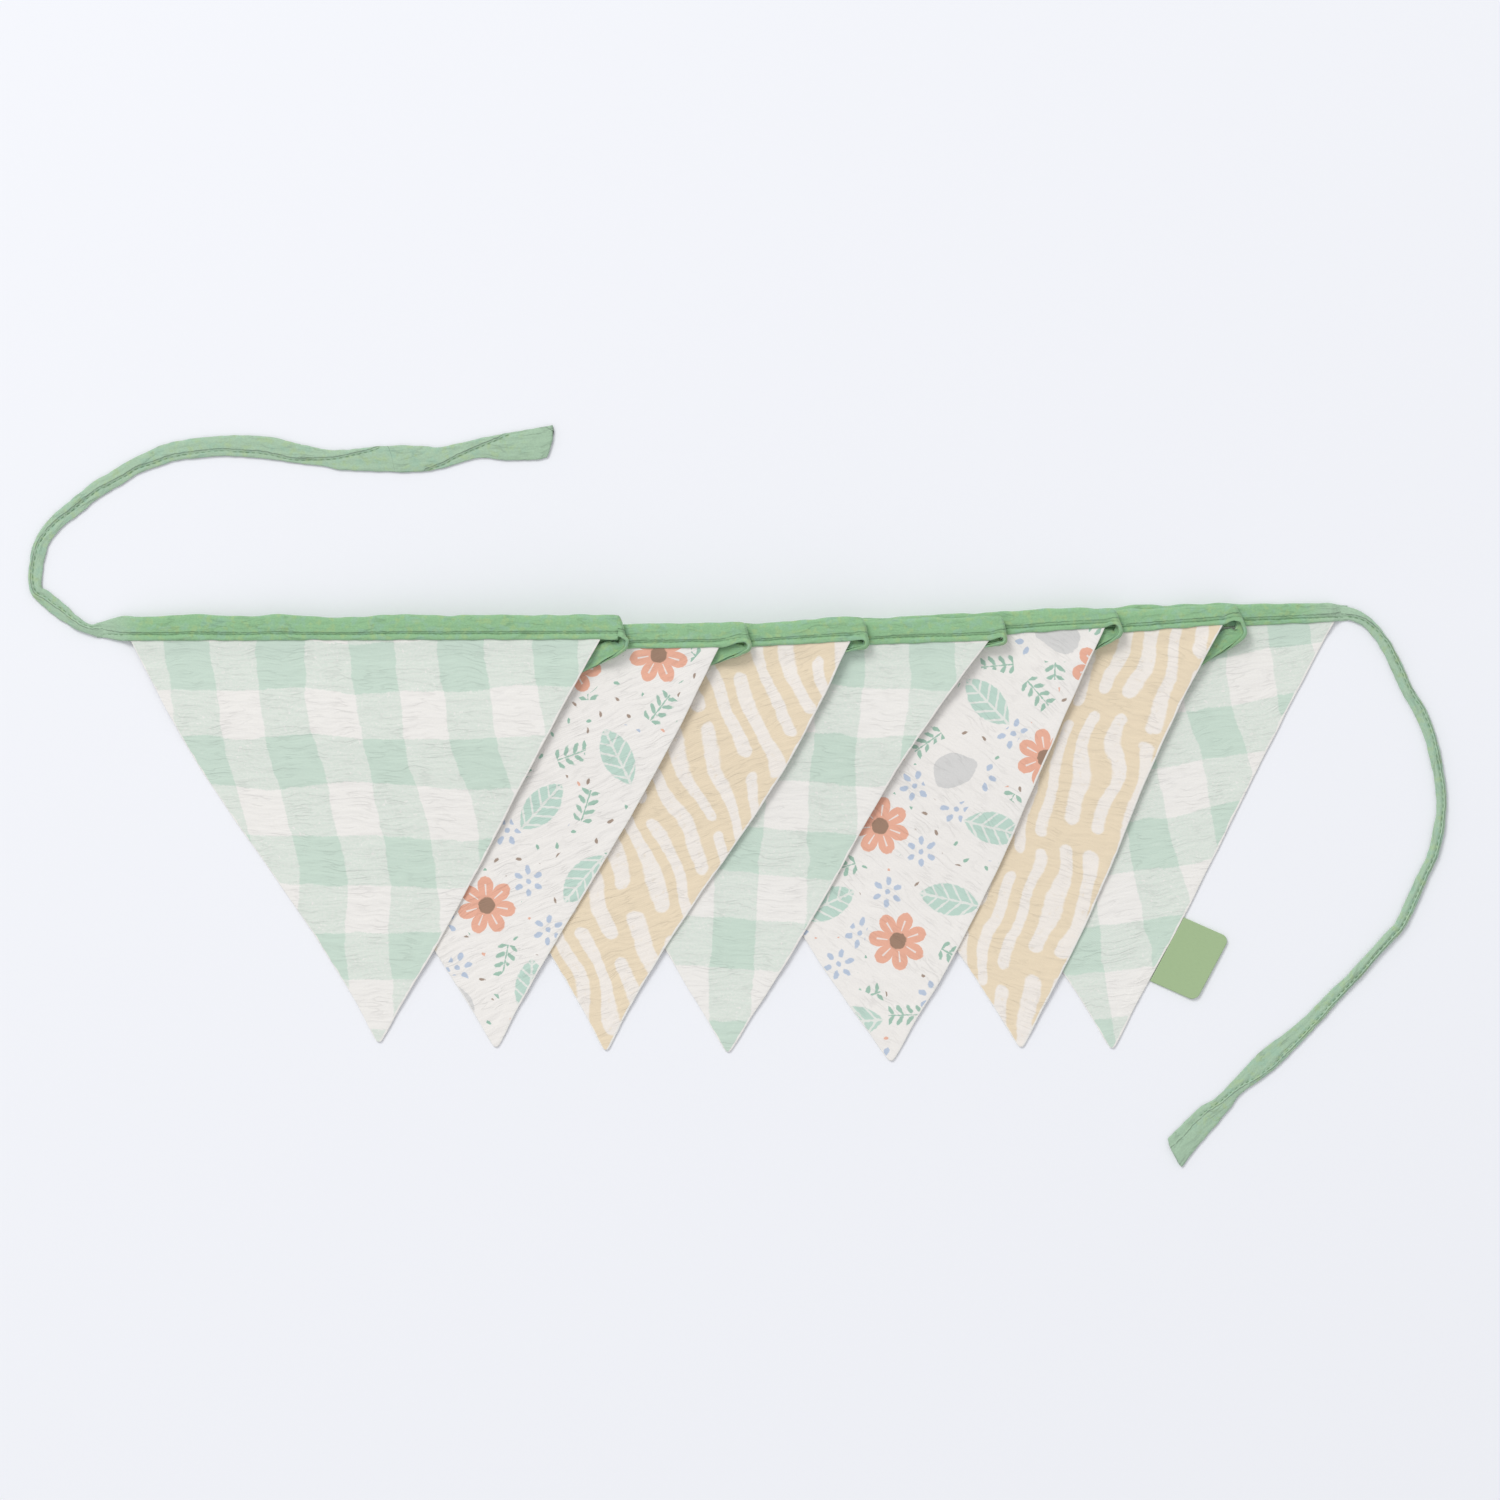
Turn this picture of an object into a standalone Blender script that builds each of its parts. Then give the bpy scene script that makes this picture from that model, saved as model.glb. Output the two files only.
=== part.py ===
# Fabric bunting, laid out on a flat surface and folded back and forth like a fan.
# Seven triangular flags lie one over the next. One folded binding runs through all of
# them: a heading over each flag's top edge, a fold past its right corner, and a bare
# stretch that goes back under the flag to the next heading. A tie lies at each end.
# Lengths are millimetres in this file, and the meshes are made in metres.
# +X is to the right, +Y is towards the headings, +Z is up, and the surface is z = 0.

import math
from collections import namedtuple
from functools import partial

import bmesh
import bpy
from mathutils import Vector

MM = 0.001
UP = Vector((0.0, 0.0, 1.0))

FLAG_THICK = 1.0            # muslin flag, two cloths sewn together
TAPE_WIDTH = 10.6           # folded binding
TAPE_THICK = 1.2            # binding where it holds no flag
HEADING_THICK = 2.8         # binding where it holds a flag
LIP_THICK = 0.55            # one wall of the binding
TILT_FROM = 0.6             # share of a heading where it starts to tilt
EDGE_ROUND = 1.0            # the folded upper edge of the binding
EDGE_ROUND_FROM = 0.3       # shares of the thickness between which that edge is steepest
EDGE_ROUND_TO = 0.7
SLOT_SIDE_GAP = 1.2         # from the slot's end to the binding's upper edge
SLOT_BEFORE = 1.0           # the slot starts this far before the left corner
PLAIN_BEFORE = 5.0          # the tape is down to its own thickness this far before it
SLOT_PAST = 0.6             # the same two lengths past the right corner
PLAIN_PAST = 1.6
TUCK = 6.6                  # how far a flag goes up into its heading
FLAG_IN_HEADING = 0.9       # a flag's underside above the heading's underside
TAB_THICK = 1.0
TOUCH_GAP = 0.4             # between pieces that meet

# Layers: each flag and heading lies on the ones to its right.
PITCH_AT_HEADING = 3.4      # from one unit up to the next where the tape goes back
PITCH_AT_TIPS = 1.35        # the same among the bare flags below
PITCH_FROM = 40.0           # depth below the headings where the pitch starts to shrink
PITCH_SPAN = 90.0           # depth over which it shrinks
HEADING_LINE = 80.0         # y of the headings' lower edges
LEFT_EDGE_LEAN = 0.61       # x that a flag's left edge gains for each mm of depth
COVER_MARGIN = 0.5          # a unit starts to lift the others this far before its edge
EDGE_REST = 0.15            # share of the way to the next unit where a left edge lies flat
FOLD_FADE_FROM = 25.0       # below this depth only the flags' own edges count
FOLD_FADE_SPAN = 45.0
CORNER_RISE = 1.4           # a heading's end lifts over the tape that goes back under it
RISE_FROM = 38.0            # before the right corner
RISE_SPAN = 26.0
RISE_FADE_FROM = 12.0       # depth below the heading
RISE_FADE_SPAN = 23.0
DROP_SPAN = 8.0             # depth over which a flag sinks from its heading to its base

# Folds of the binding.
RIGHT_FOLD_RADIUS = 1.65
LEFT_FOLD_RADIUS = 0.85
LEFT_FOLD_REACH = 20.0      # from a flag's left corner
LEFT_FOLD_ANGLE = 40.0
LEFT_EASE_REACH = 0.6       # share of the left reach where the section starts to turn
LEFT_EASE_TURN = 0.4        # share of the crease's slant that it has there
RIGHT_EASE_TURN = 0.3       # the same where the tape gets thin past the right corner
RETURN_HEIGHT = 2.3         # middle of the tape above the base of the unit below it
RETURN_OVER_HEADING = 3.7   # the same where it crosses the next heading
RETURN_DROP_FROM = 20.0     # along the tape from the fold
RETURN_DROP_SPAN = 16.0
RETURN_PULL_RIGHT = 55.0    # how far the tape runs straight from each fold
RETURN_PULL_LEFT = 50.0
RETURN_STEPS = 18
CREASE_EASE_STEPS = 2.0     # steps in which the section turns back from each crease
FOLD_STEPS = 6
HEADING_COLUMNS = 17
EDGE_SAMPLES = 10           # along a flag's left edge, to find where the flag starts

Flag = namedtuple("Flag", "name left right tip left_bow left_wave right_bow right_wave"
                  " end_width reach turn")
# left, right, tip: corners on the heading's lower edge, and the lowest point (x, y).
# bow and wave: how far each side edge swells outwards, once and as an S.
# end_width: how wide the binding shows at the right corner, where it tilts.
# reach, turn: the fold's crease beyond the right corner, and the angle of the tape after it.
FLAGS = (
    Flag("flag_1", (-254.3, 81.7), (-52.2, 82.1), (-147.7, -90.7),
         1.9, 1.9, 1.2, -0.8, 10.6, 7.5, 37.0),
    Flag("flag_2", (-202.3, 75.7), (-1.5, 78.7), (-97.4, -92.9),
         0.8, 0.0, 1.9, 0.9, 10.6, 7.9, 37.0),
    Flag("flag_3", (-145.6, 70.1), (54.8, 81.3), (-50.1, -94.2),
         0.0, 0.0, 2.2, 2.2, 10.4, 3.6, 30.0),
    Flag("flag_4", (-90.5, 74.4), (114.2, 81.7), (2.4, -95.0),
         1.6, -1.4, -2.0, -1.9, 10.4, 3.2, 28.0),
    Flag("flag_5", (-36.3, 73.5), (164.0, 87.3), (72.5, -98.8),
         1.8, -2.2, 4.3, -1.2, 8.8, 3.4, 30.0),
    Flag("flag_6", (22.6, 73.5), (214.8, 88.6), (128.4, -92.9),
         0.6, -0.6, 0.6, -2.0, 8.8, 4.9, 40.0),
    Flag("flag_7", (62.6, 80.8), (262.9, 89.9), (167.5, -93.3),
         0.4, -1.0, 0.7, -0.7, 8.6, 0.0, 0.0),
)
LAST = len(FLAGS) - 1
START_REACH = 14.6          # binding beyond the first flag's left corner, to the tie
END_REACH = 6.05            # binding beyond the last flag's right corner, to the tie

FLAG_TOP_DEPTHS = (4.0, 8.0)
FLAG_ROWS = 15
TIP_ROW = 0.985             # share of the depth at the last full row
TIP_WIDTH = 1.2

TiePoint = namedtuple("TiePoint", "x y width")
TIE_THICK = 1.3
TIE_SECTION = 14.0          # thickness times width where the tie is pinched
TIE_THICK_MOST = 2.2
TIE_STEP = 6.5              # between sections along a tie
TIE_CURVE_STEPS = 8         # between two route points, before the sections are spaced
# A tie's section, in shares of half its width and of its thickness.
TIE_OUTLINE = ((-0.8, 0.0), (0.8, 0.0), (1.0, 0.45), (0.7, 1.0), (-0.7, 1.0), (-1.0, 0.45))
LEFT_TIE = (
    TiePoint(-269.3, 87.0, 9.0), TiePoint(-271.8, 87.1, 7.0),
    TiePoint(-276.9, 88.6, 6.3), TiePoint(-284.0, 94.2, 6.4),
    TiePoint(-291.3, 100.2, 6.4), TiePoint(-295.2, 104.1, 5.4), TiePoint(-295.2, 113.1, 6.0),
    TiePoint(-292.6, 124.3, 6.2), TiePoint(-286.2, 132.9, 6.5), TiePoint(-279.3, 138.5, 6.9),
    TiePoint(-269.4, 146.6, 7.0), TiePoint(-261.2, 151.4, 7.0), TiePoint(-253.1, 156.5, 7.0),
    TiePoint(-244.9, 160.0, 7.6), TiePoint(-236.7, 163.0, 8.0), TiePoint(-225.1, 164.7, 8.4),
    TiePoint(-211.8, 165.6, 8.8), TiePoint(-195.4, 164.7, 9.4), TiePoint(-183.8, 162.5, 8.4),
    TiePoint(-170.9, 160.4, 7.4), TiePoint(-162.8, 159.5, 8.6), TiePoint(-146.0, 160.0, 11.0),
    TiePoint(-129.6, 160.0, 11.2), TiePoint(-121.5, 160.4, 9.2), TiePoint(-113.3, 162.5, 8.2),
    TiePoint(-103.4, 164.7, 8.4), TiePoint(-93.5, 165.1, 11.4), TiePoint(-80.2, 166.4, 13.4),
    TiePoint(-73.4, 167.7, 13.6),
)
RIGHT_TIE = (
    TiePoint(269.5, 94.5, 8.2), TiePoint(271.6, 94.6, 7.0),
    TiePoint(276.9, 91.4, 5.0), TiePoint(281.9, 85.6, 4.8),
    TiePoint(286.2, 77.8, 5.0), TiePoint(290.0, 70.1, 5.2), TiePoint(294.3, 60.6, 5.2),
    TiePoint(299.9, 51.2, 5.5), TiePoint(304.2, 40.4, 4.9), TiePoint(306.8, 29.7, 4.8),
    TiePoint(308.5, 19.8, 4.5), TiePoint(309.0, 9.9, 4.3), TiePoint(307.7, -0.4, 4.7),
    TiePoint(305.1, -10.8, 4.5), TiePoint(300.8, -19.8, 4.6), TiePoint(296.5, -29.7, 5.1),
    TiePoint(291.3, -40.4, 4.7), TiePoint(286.6, -45.6, 4.6), TiePoint(278.4, -54.6, 4.6),
    TiePoint(270.7, -63.2, 4.9), TiePoint(263.4, -70.5, 5.6), TiePoint(253.9, -80.8, 6.4),
    TiePoint(244.9, -89.4, 7.6), TiePoint(235.4, -97.6, 9.6), TiePoint(228.1, -104.1, 8.6),
    TiePoint(220.4, -110.9, 6.4), TiePoint(214.8, -117.4, 7.6), TiePoint(207.5, -123.8, 10.4),
    TiePoint(197.4, -134.2, 12.2),
)

# Side tab, sewn into the last flag's right seam.
TAB_FROM = 0.69             # share of the seam's length at each end of the tab
TAB_TO = 0.84
TAB_REACH = 21.5
TAB_LEAN = 1.6              # the tab leans along the seam by this much
TAB_CORNER = 3.0
CORNER_STEPS = 4

SAGE = (0.53, 0.70, 0.60, 1.0)
OFF_WHITE = (0.88, 0.86, 0.82, 1.0)
BEIGE = (0.84, 0.73, 0.54, 1.0)
TAPE_GREEN = (0.22, 0.46, 0.25, 1.0)
TIE_GREEN = (0.34, 0.55, 0.36, 1.0)
TAB_GREEN = (0.24, 0.42, 0.19, 1.0)
FLAG_COLOURS = (SAGE, OFF_WHITE, BEIGE, SAGE, OFF_WHITE, BEIGE, SAGE)
CLOTH_ROUGHNESS = 0.9

Station = namedtuple("Station", "centre across up width low thick slotted field")
# A section of the binding. centre is its middle, across and up are its own directions, and
# low and thick say where its underside is and how thick it is. slotted: it holds a flag.
# field gives the height of what it lies on.


def smooth(t):
    """A soft step from 0 to 1."""
    t = max(0.0, min(1.0, t))
    return t * t * (3.0 - 2.0 * t)


def bearing(degrees):
    """The flat unit vector at an angle from +X."""
    return Vector((math.cos(math.radians(degrees)), math.sin(math.radians(degrees)), 0.0))


def flat(point):
    return Vector((point[0], point[1], 0.0))


def heading_frame(flag):
    """The direction along a flag's heading, the one across it, and its angle and length."""
    run = flat(flag.right) - flat(flag.left)
    angle = math.degrees(math.atan2(run.y, run.x))
    return bearing(angle), bearing(angle + 90.0), angle, run.length


def side_edge(flag, side, share):
    """A point on the left (-1) or right (+1) edge, at a share of the way to the tip."""
    corner = flat(flag.left if side < 0 else flag.right)
    run = flat(flag.tip) - corner
    bow, wave = (flag.left_bow, flag.left_wave) if side < 0 else (flag.right_bow, flag.right_wave)
    swell = bow * math.sin(math.pi * share) + wave * math.sin(2.0 * math.pi * share)
    outwards = Vector((-run.y, run.x, 0.0)).normalized() * side
    return corner + run * share + outwards * swell


def depth_of(y):
    return HEADING_LINE - y


def slant(x, y):
    """The place across the fan: lines of equal slant run along the flags' left edges."""
    return x - LEFT_EDGE_LEAN * depth_of(y)


def cover_start(index, with_fold):
    """The slant at which a unit begins: its flag's left edge, or the fold of its binding."""
    flag = FLAGS[index]
    points = [side_edge(flag, -1, step / EDGE_SAMPLES) for step in range(EDGE_SAMPLES + 1)]
    if with_fold:
        along = heading_frame(flag)[0]
        reach = START_REACH if index == 0 else LEFT_FOLD_REACH + TAPE_WIDTH / 2.0
        points.append(flat(flag.left) - along * reach)
    return min(slant(p.x, p.y) for p in points) - COVER_MARGIN


FOLD_STARTS = [cover_start(index, True) for index in range(len(FLAGS))]
EDGE_STARTS = [cover_start(index, False) for index in range(len(FLAGS))]


def units_at(x, y):
    """How many units lie here past the first, rising from each unit's start to the next."""
    share = smooth((depth_of(y) - FOLD_FADE_FROM) / FOLD_FADE_SPAN)
    starts = [fold + (edge - fold) * share for fold, edge in zip(FOLD_STARTS, EDGE_STARTS)]
    place = slant(x, y)
    if place <= starts[0]:
        return 0.0
    for index in range(LAST):
        if place < starts[index + 1]:
            progress = (place - starts[index]) / (starts[index + 1] - starts[index])
            return index + max(0.0, (progress - EDGE_REST) / (1.0 - EDGE_REST))
    return float(LAST)


def lift(index, x, y):
    """The height at which a unit lies on the ones to its right."""
    over = max(0.0, units_at(x, y) - index)
    pitch = PITCH_AT_HEADING - (PITCH_AT_HEADING - PITCH_AT_TIPS) * smooth(
        (depth_of(y) - PITCH_FROM) / PITCH_SPAN)
    return over * pitch


def own_depth(flag, x, y):
    """The depth below a flag's own heading."""
    across = heading_frame(flag)[1]
    return (flat(flag.left) - Vector((x, y, 0.0))).dot(across)


def unit_height(index, x, y):
    """The base of a flag and its heading, lifted near the right corner over the return."""
    height = lift(index, x, y)
    if index == LAST:
        return height
    flag = FLAGS[index]
    ramp = smooth((x - flag.right[0] + RISE_FROM) / RISE_SPAN)
    fade = 1.0 - smooth((own_depth(flag, x, y) - RISE_FADE_FROM) / RISE_FADE_SPAN)
    return height + CORNER_RISE * ramp * fade


def material(name, colour):
    made = bpy.data.materials.new(name)
    made.use_nodes = True
    shader = made.node_tree.nodes["Principled BSDF"]
    shader.inputs["Base Color"].default_value = colour
    shader.inputs["Roughness"].default_value = CLOTH_ROUGHNESS
    shader.inputs["Metallic"].default_value = 0.0
    return made


def add_object(name, points, faces, finish):
    """One closed solid from points in millimetres."""
    mesh = bpy.data.meshes.new(name)
    mesh.from_pydata([p * MM for p in points], [], faces)
    shell = bmesh.new()
    shell.from_mesh(mesh)
    bmesh.ops.recalc_face_normals(shell, faces=shell.faces)
    shell.to_mesh(mesh)
    shell.free()
    mesh.materials.append(finish)
    made = bpy.data.objects.new(name, mesh)
    bpy.context.scene.collection.objects.link(made)
    return made


def flag_rows(flag):
    """Rows of plan points from the top edge in the heading down to the tip."""
    _, across, _, length = heading_frame(flag)
    depth = abs(flag.tip[1] - flag.left[1])
    shares = [0.0] + [top / depth for top in FLAG_TOP_DEPTHS]
    first = shares[-1]
    shares += [first + (TIP_ROW - first) * row / FLAG_ROWS for row in range(1, FLAG_ROWS + 1)]
    rows = []
    for number, share in enumerate(shares):
        left, right = side_edge(flag, -1, share), side_edge(flag, 1, share)
        cells = HEADING_COLUMNS
        if number > len(FLAG_TOP_DEPTHS):
            cells = max(1, round(HEADING_COLUMNS * (right - left).length / length))
        rows.append([left.lerp(right, cell / cells) for cell in range(cells + 1)])
    rows.insert(0, [point + across * TUCK for point in rows[0]])
    half_tip = Vector((TIP_WIDTH / 2.0, 0.0, 0.0))
    rows.append([flat(flag.tip) - half_tip, flat(flag.tip) + half_tip])
    return rows


def zip_rows(upper, lower):
    """Triangles between two rows of numbered points with unlike counts."""
    faces = []
    i, j = 0, 0
    while i < len(upper) - 1 or j < len(lower) - 1:
        next_upper = (i + 1) / max(1, len(upper) - 1) if i < len(upper) - 1 else 2.0
        next_lower = (j + 1) / max(1, len(lower) - 1) if j < len(lower) - 1 else 2.0
        if next_upper <= next_lower:
            faces.append((upper[i], lower[j], upper[i + 1]))
            i += 1
        else:
            faces.append((upper[i], lower[j], lower[j + 1]))
            j += 1
    return faces


def make_flag(index, finish):
    """A flag: a thin sheet over its rows, lying on the units to its right."""
    flag = FLAGS[index]
    rows = flag_rows(flag)
    points = []
    numbers = []
    for row in rows:
        numbers.append(list(range(len(points), len(points) + len(row))))
        for plan in row:
            sink = smooth(own_depth(flag, plan.x, plan.y) / DROP_SPAN)
            base = unit_height(index, plan.x, plan.y) + FLAG_IN_HEADING * (1.0 - sink)
            points.append(Vector((plan.x, plan.y, base)))
    count = len(points)
    points += [point + UP * FLAG_THICK for point in points]
    sheet = []
    for upper, lower in zip(numbers, numbers[1:]):
        sheet += zip_rows(upper, lower)
    faces = [tuple(reversed(face)) for face in sheet]
    faces += [tuple(number + count for number in face) for face in sheet]
    rim = numbers[0] + [row[-1] for row in numbers[1:-1]]
    rim += list(reversed(numbers[-1])) + [row[0] for row in reversed(numbers[1:-1])]
    for here, there in zip(rim, rim[1:] + rim[:1]):
        faces.append((here, there, there + count, here + count))
    return add_object(flag.name, points, faces, finish)


# The order of a section's points round the binding with and without its slot.
SLOT_RING = (0, 1, 2, 3, 4, 5, 6, 8, 9, 7)
PLAIN_RING = (0, 1, 2, 3, 4, 5, 6, 7)
SLOT_END = (6, 8, 9, 7)


def section(station):
    """The points of the binding's section: eight round the outside, two inside the slot."""
    half = station.width / 2.0
    low, high = station.low, station.low + station.thick
    outline = (
        (-half, low), (half - EDGE_ROUND, low),
        (half, low + EDGE_ROUND_FROM * station.thick), (half, low + EDGE_ROUND_TO * station.thick),
        (half - EDGE_ROUND, high), (-half, high),
        (-half, high - LIP_THICK), (-half, low + LIP_THICK),
        (half - SLOT_SIDE_GAP, high - LIP_THICK), (half - SLOT_SIDE_GAP, low + LIP_THICK),
    )
    made = []
    for width, rise in outline if station.slotted else outline[:len(PLAIN_RING)]:
        point = station.centre + station.across * width + station.up * rise
        made.append(point + UP * station.field(point.x, point.y))
    return made


def sweep_tape(name, stations, finish):
    """The binding's solid: its sections joined, with the slot closed at each end."""
    points = []
    faces = []
    starts = []
    for station in stations:
        starts.append(len(points))
        points += section(station)
    for number in range(len(stations) - 1):
        slotted, slotted_next = stations[number].slotted, stations[number + 1].slotted
        here, there = starts[number], starts[number + 1]
        ring = SLOT_RING if slotted and slotted_next else PLAIN_RING
        for one, two in zip(ring, ring[1:] + ring[:1]):
            faces.append((here + one, here + two, there + two, there + one))
        if slotted != slotted_next:
            faces.append(tuple((here if slotted else there) + corner for corner in SLOT_END))
    faces.append(tuple(starts[0] + corner for corner in PLAIN_RING))
    faces.append(tuple(starts[-1] + corner for corner in reversed(PLAIN_RING)))
    return add_object(name, points, faces, finish)


def heading_width(flag, share):
    """The binding's width along a heading, which narrows where it tilts at the right."""
    narrowing = smooth((share - TILT_FROM) / (1.0 - TILT_FROM))
    return TAPE_WIDTH + (flag.end_width - TAPE_WIDTH) * narrowing


def heading_stations(index):
    """One heading, from its left fold or tie to its right fold or tie."""
    flag = FLAGS[index]
    along, across, angle, length = heading_frame(flag)
    field = partial(unit_height, index)
    skew_left = 0.0 if index == 0 else -LEFT_FOLD_ANGLE / 2.0
    skew_right = flag.turn / 2.0
    left_reach = START_REACH if index == 0 else LEFT_FOLD_REACH
    right_reach = END_REACH if index == LAST else flag.reach
    end_low = 0.0 if index == LAST else HEADING_THICK - TAPE_THICK
    # Each row: how far along, the slant of the section, its underside, thickness and slot.
    rows = [(-left_reach, skew_left, 0.0, TAPE_THICK, False)]
    rows.append((-LEFT_EASE_REACH * left_reach, LEFT_EASE_TURN * skew_left, 0.0, TAPE_THICK, False))
    rows.append((-PLAIN_BEFORE, 0.0, 0.0, TAPE_THICK, False))
    rows.append((-SLOT_BEFORE, 0.0, 0.0, HEADING_THICK, True))
    for column in range(HEADING_COLUMNS + 1):
        rows.append((length * column / HEADING_COLUMNS, 0.0, 0.0, HEADING_THICK, True))
    rows.append((length + SLOT_PAST, 0.0, 0.0, HEADING_THICK, True))
    rows.append((length + PLAIN_PAST, RIGHT_EASE_TURN * skew_right, end_low, TAPE_THICK, False))
    rows.append((length + right_reach, skew_right, end_low, TAPE_THICK, False))
    made = []
    for reach, skew, low, thick, slotted in rows:
        width = heading_width(flag, reach / length)
        middle = flat(flag.left) + along * reach + across * (width / 2.0)
        spread = bearing(angle + 90.0 + skew) / math.cos(math.radians(skew))
        made.append(Station(middle, spread, UP, width, low, thick, slotted, field))
    return made


def fold_stations(start, crease, outward, radius, flip, width, field):
    """Half a turn round a crease, given as its direction and its slant to the tape.

    flip is +1 where the tape's face starts on the outside of the fold.
    """
    direction, slanting = crease
    drift = radius * math.tan(slanting)
    spread = direction / math.cos(slanting)
    low = -TAPE_THICK / 2.0
    made = []
    for step in range(1, FOLD_STEPS + 1):
        turn = math.pi * step / FOLD_STEPS
        radial = outward * math.sin(turn) + UP * math.cos(turn)
        centre = start + outward * (radius * math.sin(turn)) + direction * (drift * turn)
        centre += UP * (radius * (math.cos(turn) - 1.0))
        made.append(Station(centre, spread, radial * flip, width, low, TAPE_THICK, False, field))
    return made


def bezier(pulls, t):
    """A point on a cubic curve and the direction there."""
    weights = ((1 - t) ** 3, 3 * t * (1 - t) ** 2, 3 * t * t * (1 - t), t ** 3)
    slopes = (-(1 - t) ** 2, (1 - t) * (1 - 3 * t), t * (2 - 3 * t), t * t)
    point = sum((pull * weight for pull, weight in zip(pulls, weights)), Vector())
    return point, sum((pull * slope for pull, slope in zip(pulls, slopes)), Vector())


def return_stations(index):
    """From one heading's right fold, back under the flag, to the next heading's left fold."""
    flag, following = FLAGS[index], FLAGS[index + 1]
    along, across, angle, length = heading_frame(flag)
    next_along, next_across, next_angle, _ = heading_frame(following)
    field = partial(lift, index + 1)
    top = PITCH_AT_HEADING + CORNER_RISE + HEADING_THICK - TAPE_THICK / 2.0
    start = flat(flag.left) + across * (flag.end_width / 2.0) + along * (length + flag.reach)
    start.z = top
    half_turn = math.radians(flag.turn / 2.0)
    crease = (bearing(angle + 90.0 + flag.turn / 2.0), -half_turn)
    outward = bearing(angle + flag.turn / 2.0)
    made = fold_stations(start, crease, outward, RIGHT_FOLD_RADIUS, 1.0, flag.end_width, field)

    half_left = math.radians(LEFT_FOLD_ANGLE / 2.0)
    left_crease = (bearing(next_angle + 90.0 - LEFT_FOLD_ANGLE / 2.0), half_left)
    left_outward = bearing(next_angle + 180.0 - LEFT_FOLD_ANGLE / 2.0)
    landing = flat(following.left) + next_across * (TAPE_WIDTH / 2.0) - next_along * LEFT_FOLD_REACH
    fold_start = landing - left_crease[0] * (math.pi * LEFT_FOLD_RADIUS * math.tan(half_left))
    fold_start.z = RETURN_HEIGHT

    leave = made[-1].centre.copy()
    leave.z = 0.0
    out_angle = angle + 180.0 + flag.turn
    in_angle = next_angle + 180.0 - LEFT_FOLD_ANGLE
    pulls = (leave, leave + bearing(out_angle) * RETURN_PULL_RIGHT,
             flat(fold_start) - bearing(in_angle) * RETURN_PULL_LEFT, flat(fold_start))
    travelled = 0.0
    before = leave
    low = -TAPE_THICK / 2.0
    for step in range(1, RETURN_STEPS + 1):
        t = step / RETURN_STEPS
        centre, heading = bezier(pulls, t)
        travelled += (centre - before).length
        before = centre.copy()
        side = math.degrees(math.atan2(heading.y, heading.x)) - 90.0
        skew = LEFT_FOLD_ANGLE / 2.0 * smooth(1.0 - (RETURN_STEPS - step) / CREASE_EASE_STEPS)
        skew -= flag.turn / 2.0 * smooth(1.0 - step / CREASE_EASE_STEPS)
        drop = smooth((travelled - RETURN_DROP_FROM) / RETURN_DROP_SPAN)
        centre.z = RETURN_OVER_HEADING - (RETURN_OVER_HEADING - RETURN_HEIGHT) * drop
        spread = bearing(side + skew) / math.cos(math.radians(skew))
        width = flag.end_width + (TAPE_WIDTH - flag.end_width) * smooth(t)
        made.append(Station(centre, spread, -UP, width, low, TAPE_THICK, False, field))
    made += fold_stations(fold_start, left_crease, left_outward, LEFT_FOLD_RADIUS, -1.0,
                          TAPE_WIDTH, field)
    return made[:-1]


def make_binding(finish):
    stations = []
    for index in range(len(FLAGS)):
        stations += heading_stations(index)
        if index < LAST:
            stations += return_stations(index)
    return sweep_tape("binding", stations, finish)


def smooth_route(route):
    """Even points along a smooth curve through a route's own points, with their widths."""
    values = [Vector((p.x, p.y, p.width)) for p in route]
    values = [values[0] * 2.0 - values[1]] + values + [values[-1] * 2.0 - values[-2]]
    fine = []
    for a, b, c, d in zip(values, values[1:], values[2:], values[3:]):
        for part in range(TIE_CURVE_STEPS):
            t = part / TIE_CURVE_STEPS
            fine.append(0.5 * (2.0 * b + (c - a) * t + (2.0 * a - 5.0 * b + 4.0 * c - d) * t * t
                               + (3.0 * b - a - 3.0 * c + d) * t ** 3))
    fine.append(values[-2])
    made = [fine[0]]
    gone = 0.0
    for one, two in zip(fine, fine[1:]):
        gone += (flat(two) - flat(one)).length
        if gone >= TIE_STEP:
            made.append(two)
            gone = 0.0
    made[-1] = fine[-1]
    return made


def make_tie(name, route, finish):
    """A tie: a flat folded strip on the surface, thicker where it is pinched."""
    path = smooth_route(route)
    points = []
    faces = []
    ring = len(TIE_OUTLINE)
    for number, here in enumerate(path):
        before, after = path[max(0, number - 1)], path[min(len(path) - 1, number + 1)]
        if number == 0:
            before, after = route[0], route[1]
        run = (flat(after) - flat(before)).normalized()
        side = Vector((-run.y, run.x, 0.0))
        half = here.z / 2.0
        thick = max(TIE_THICK, min(TIE_THICK_MOST, TIE_SECTION / here.z - TIE_THICK / 2.0))
        for width, rise in TIE_OUTLINE:
            points.append(flat(here) + side * (half * width) + UP * (thick * rise))
    for start in range(0, len(points) - ring, ring):
        for corner in range(ring):
            after = (corner + 1) % ring
            faces.append((start + corner, start + after, start + ring + after, start + ring + corner))
    faces.append(tuple(range(ring)))
    faces.append(tuple(reversed(range(len(points) - ring, len(points)))))
    return add_object(name, points, faces, finish)


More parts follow.
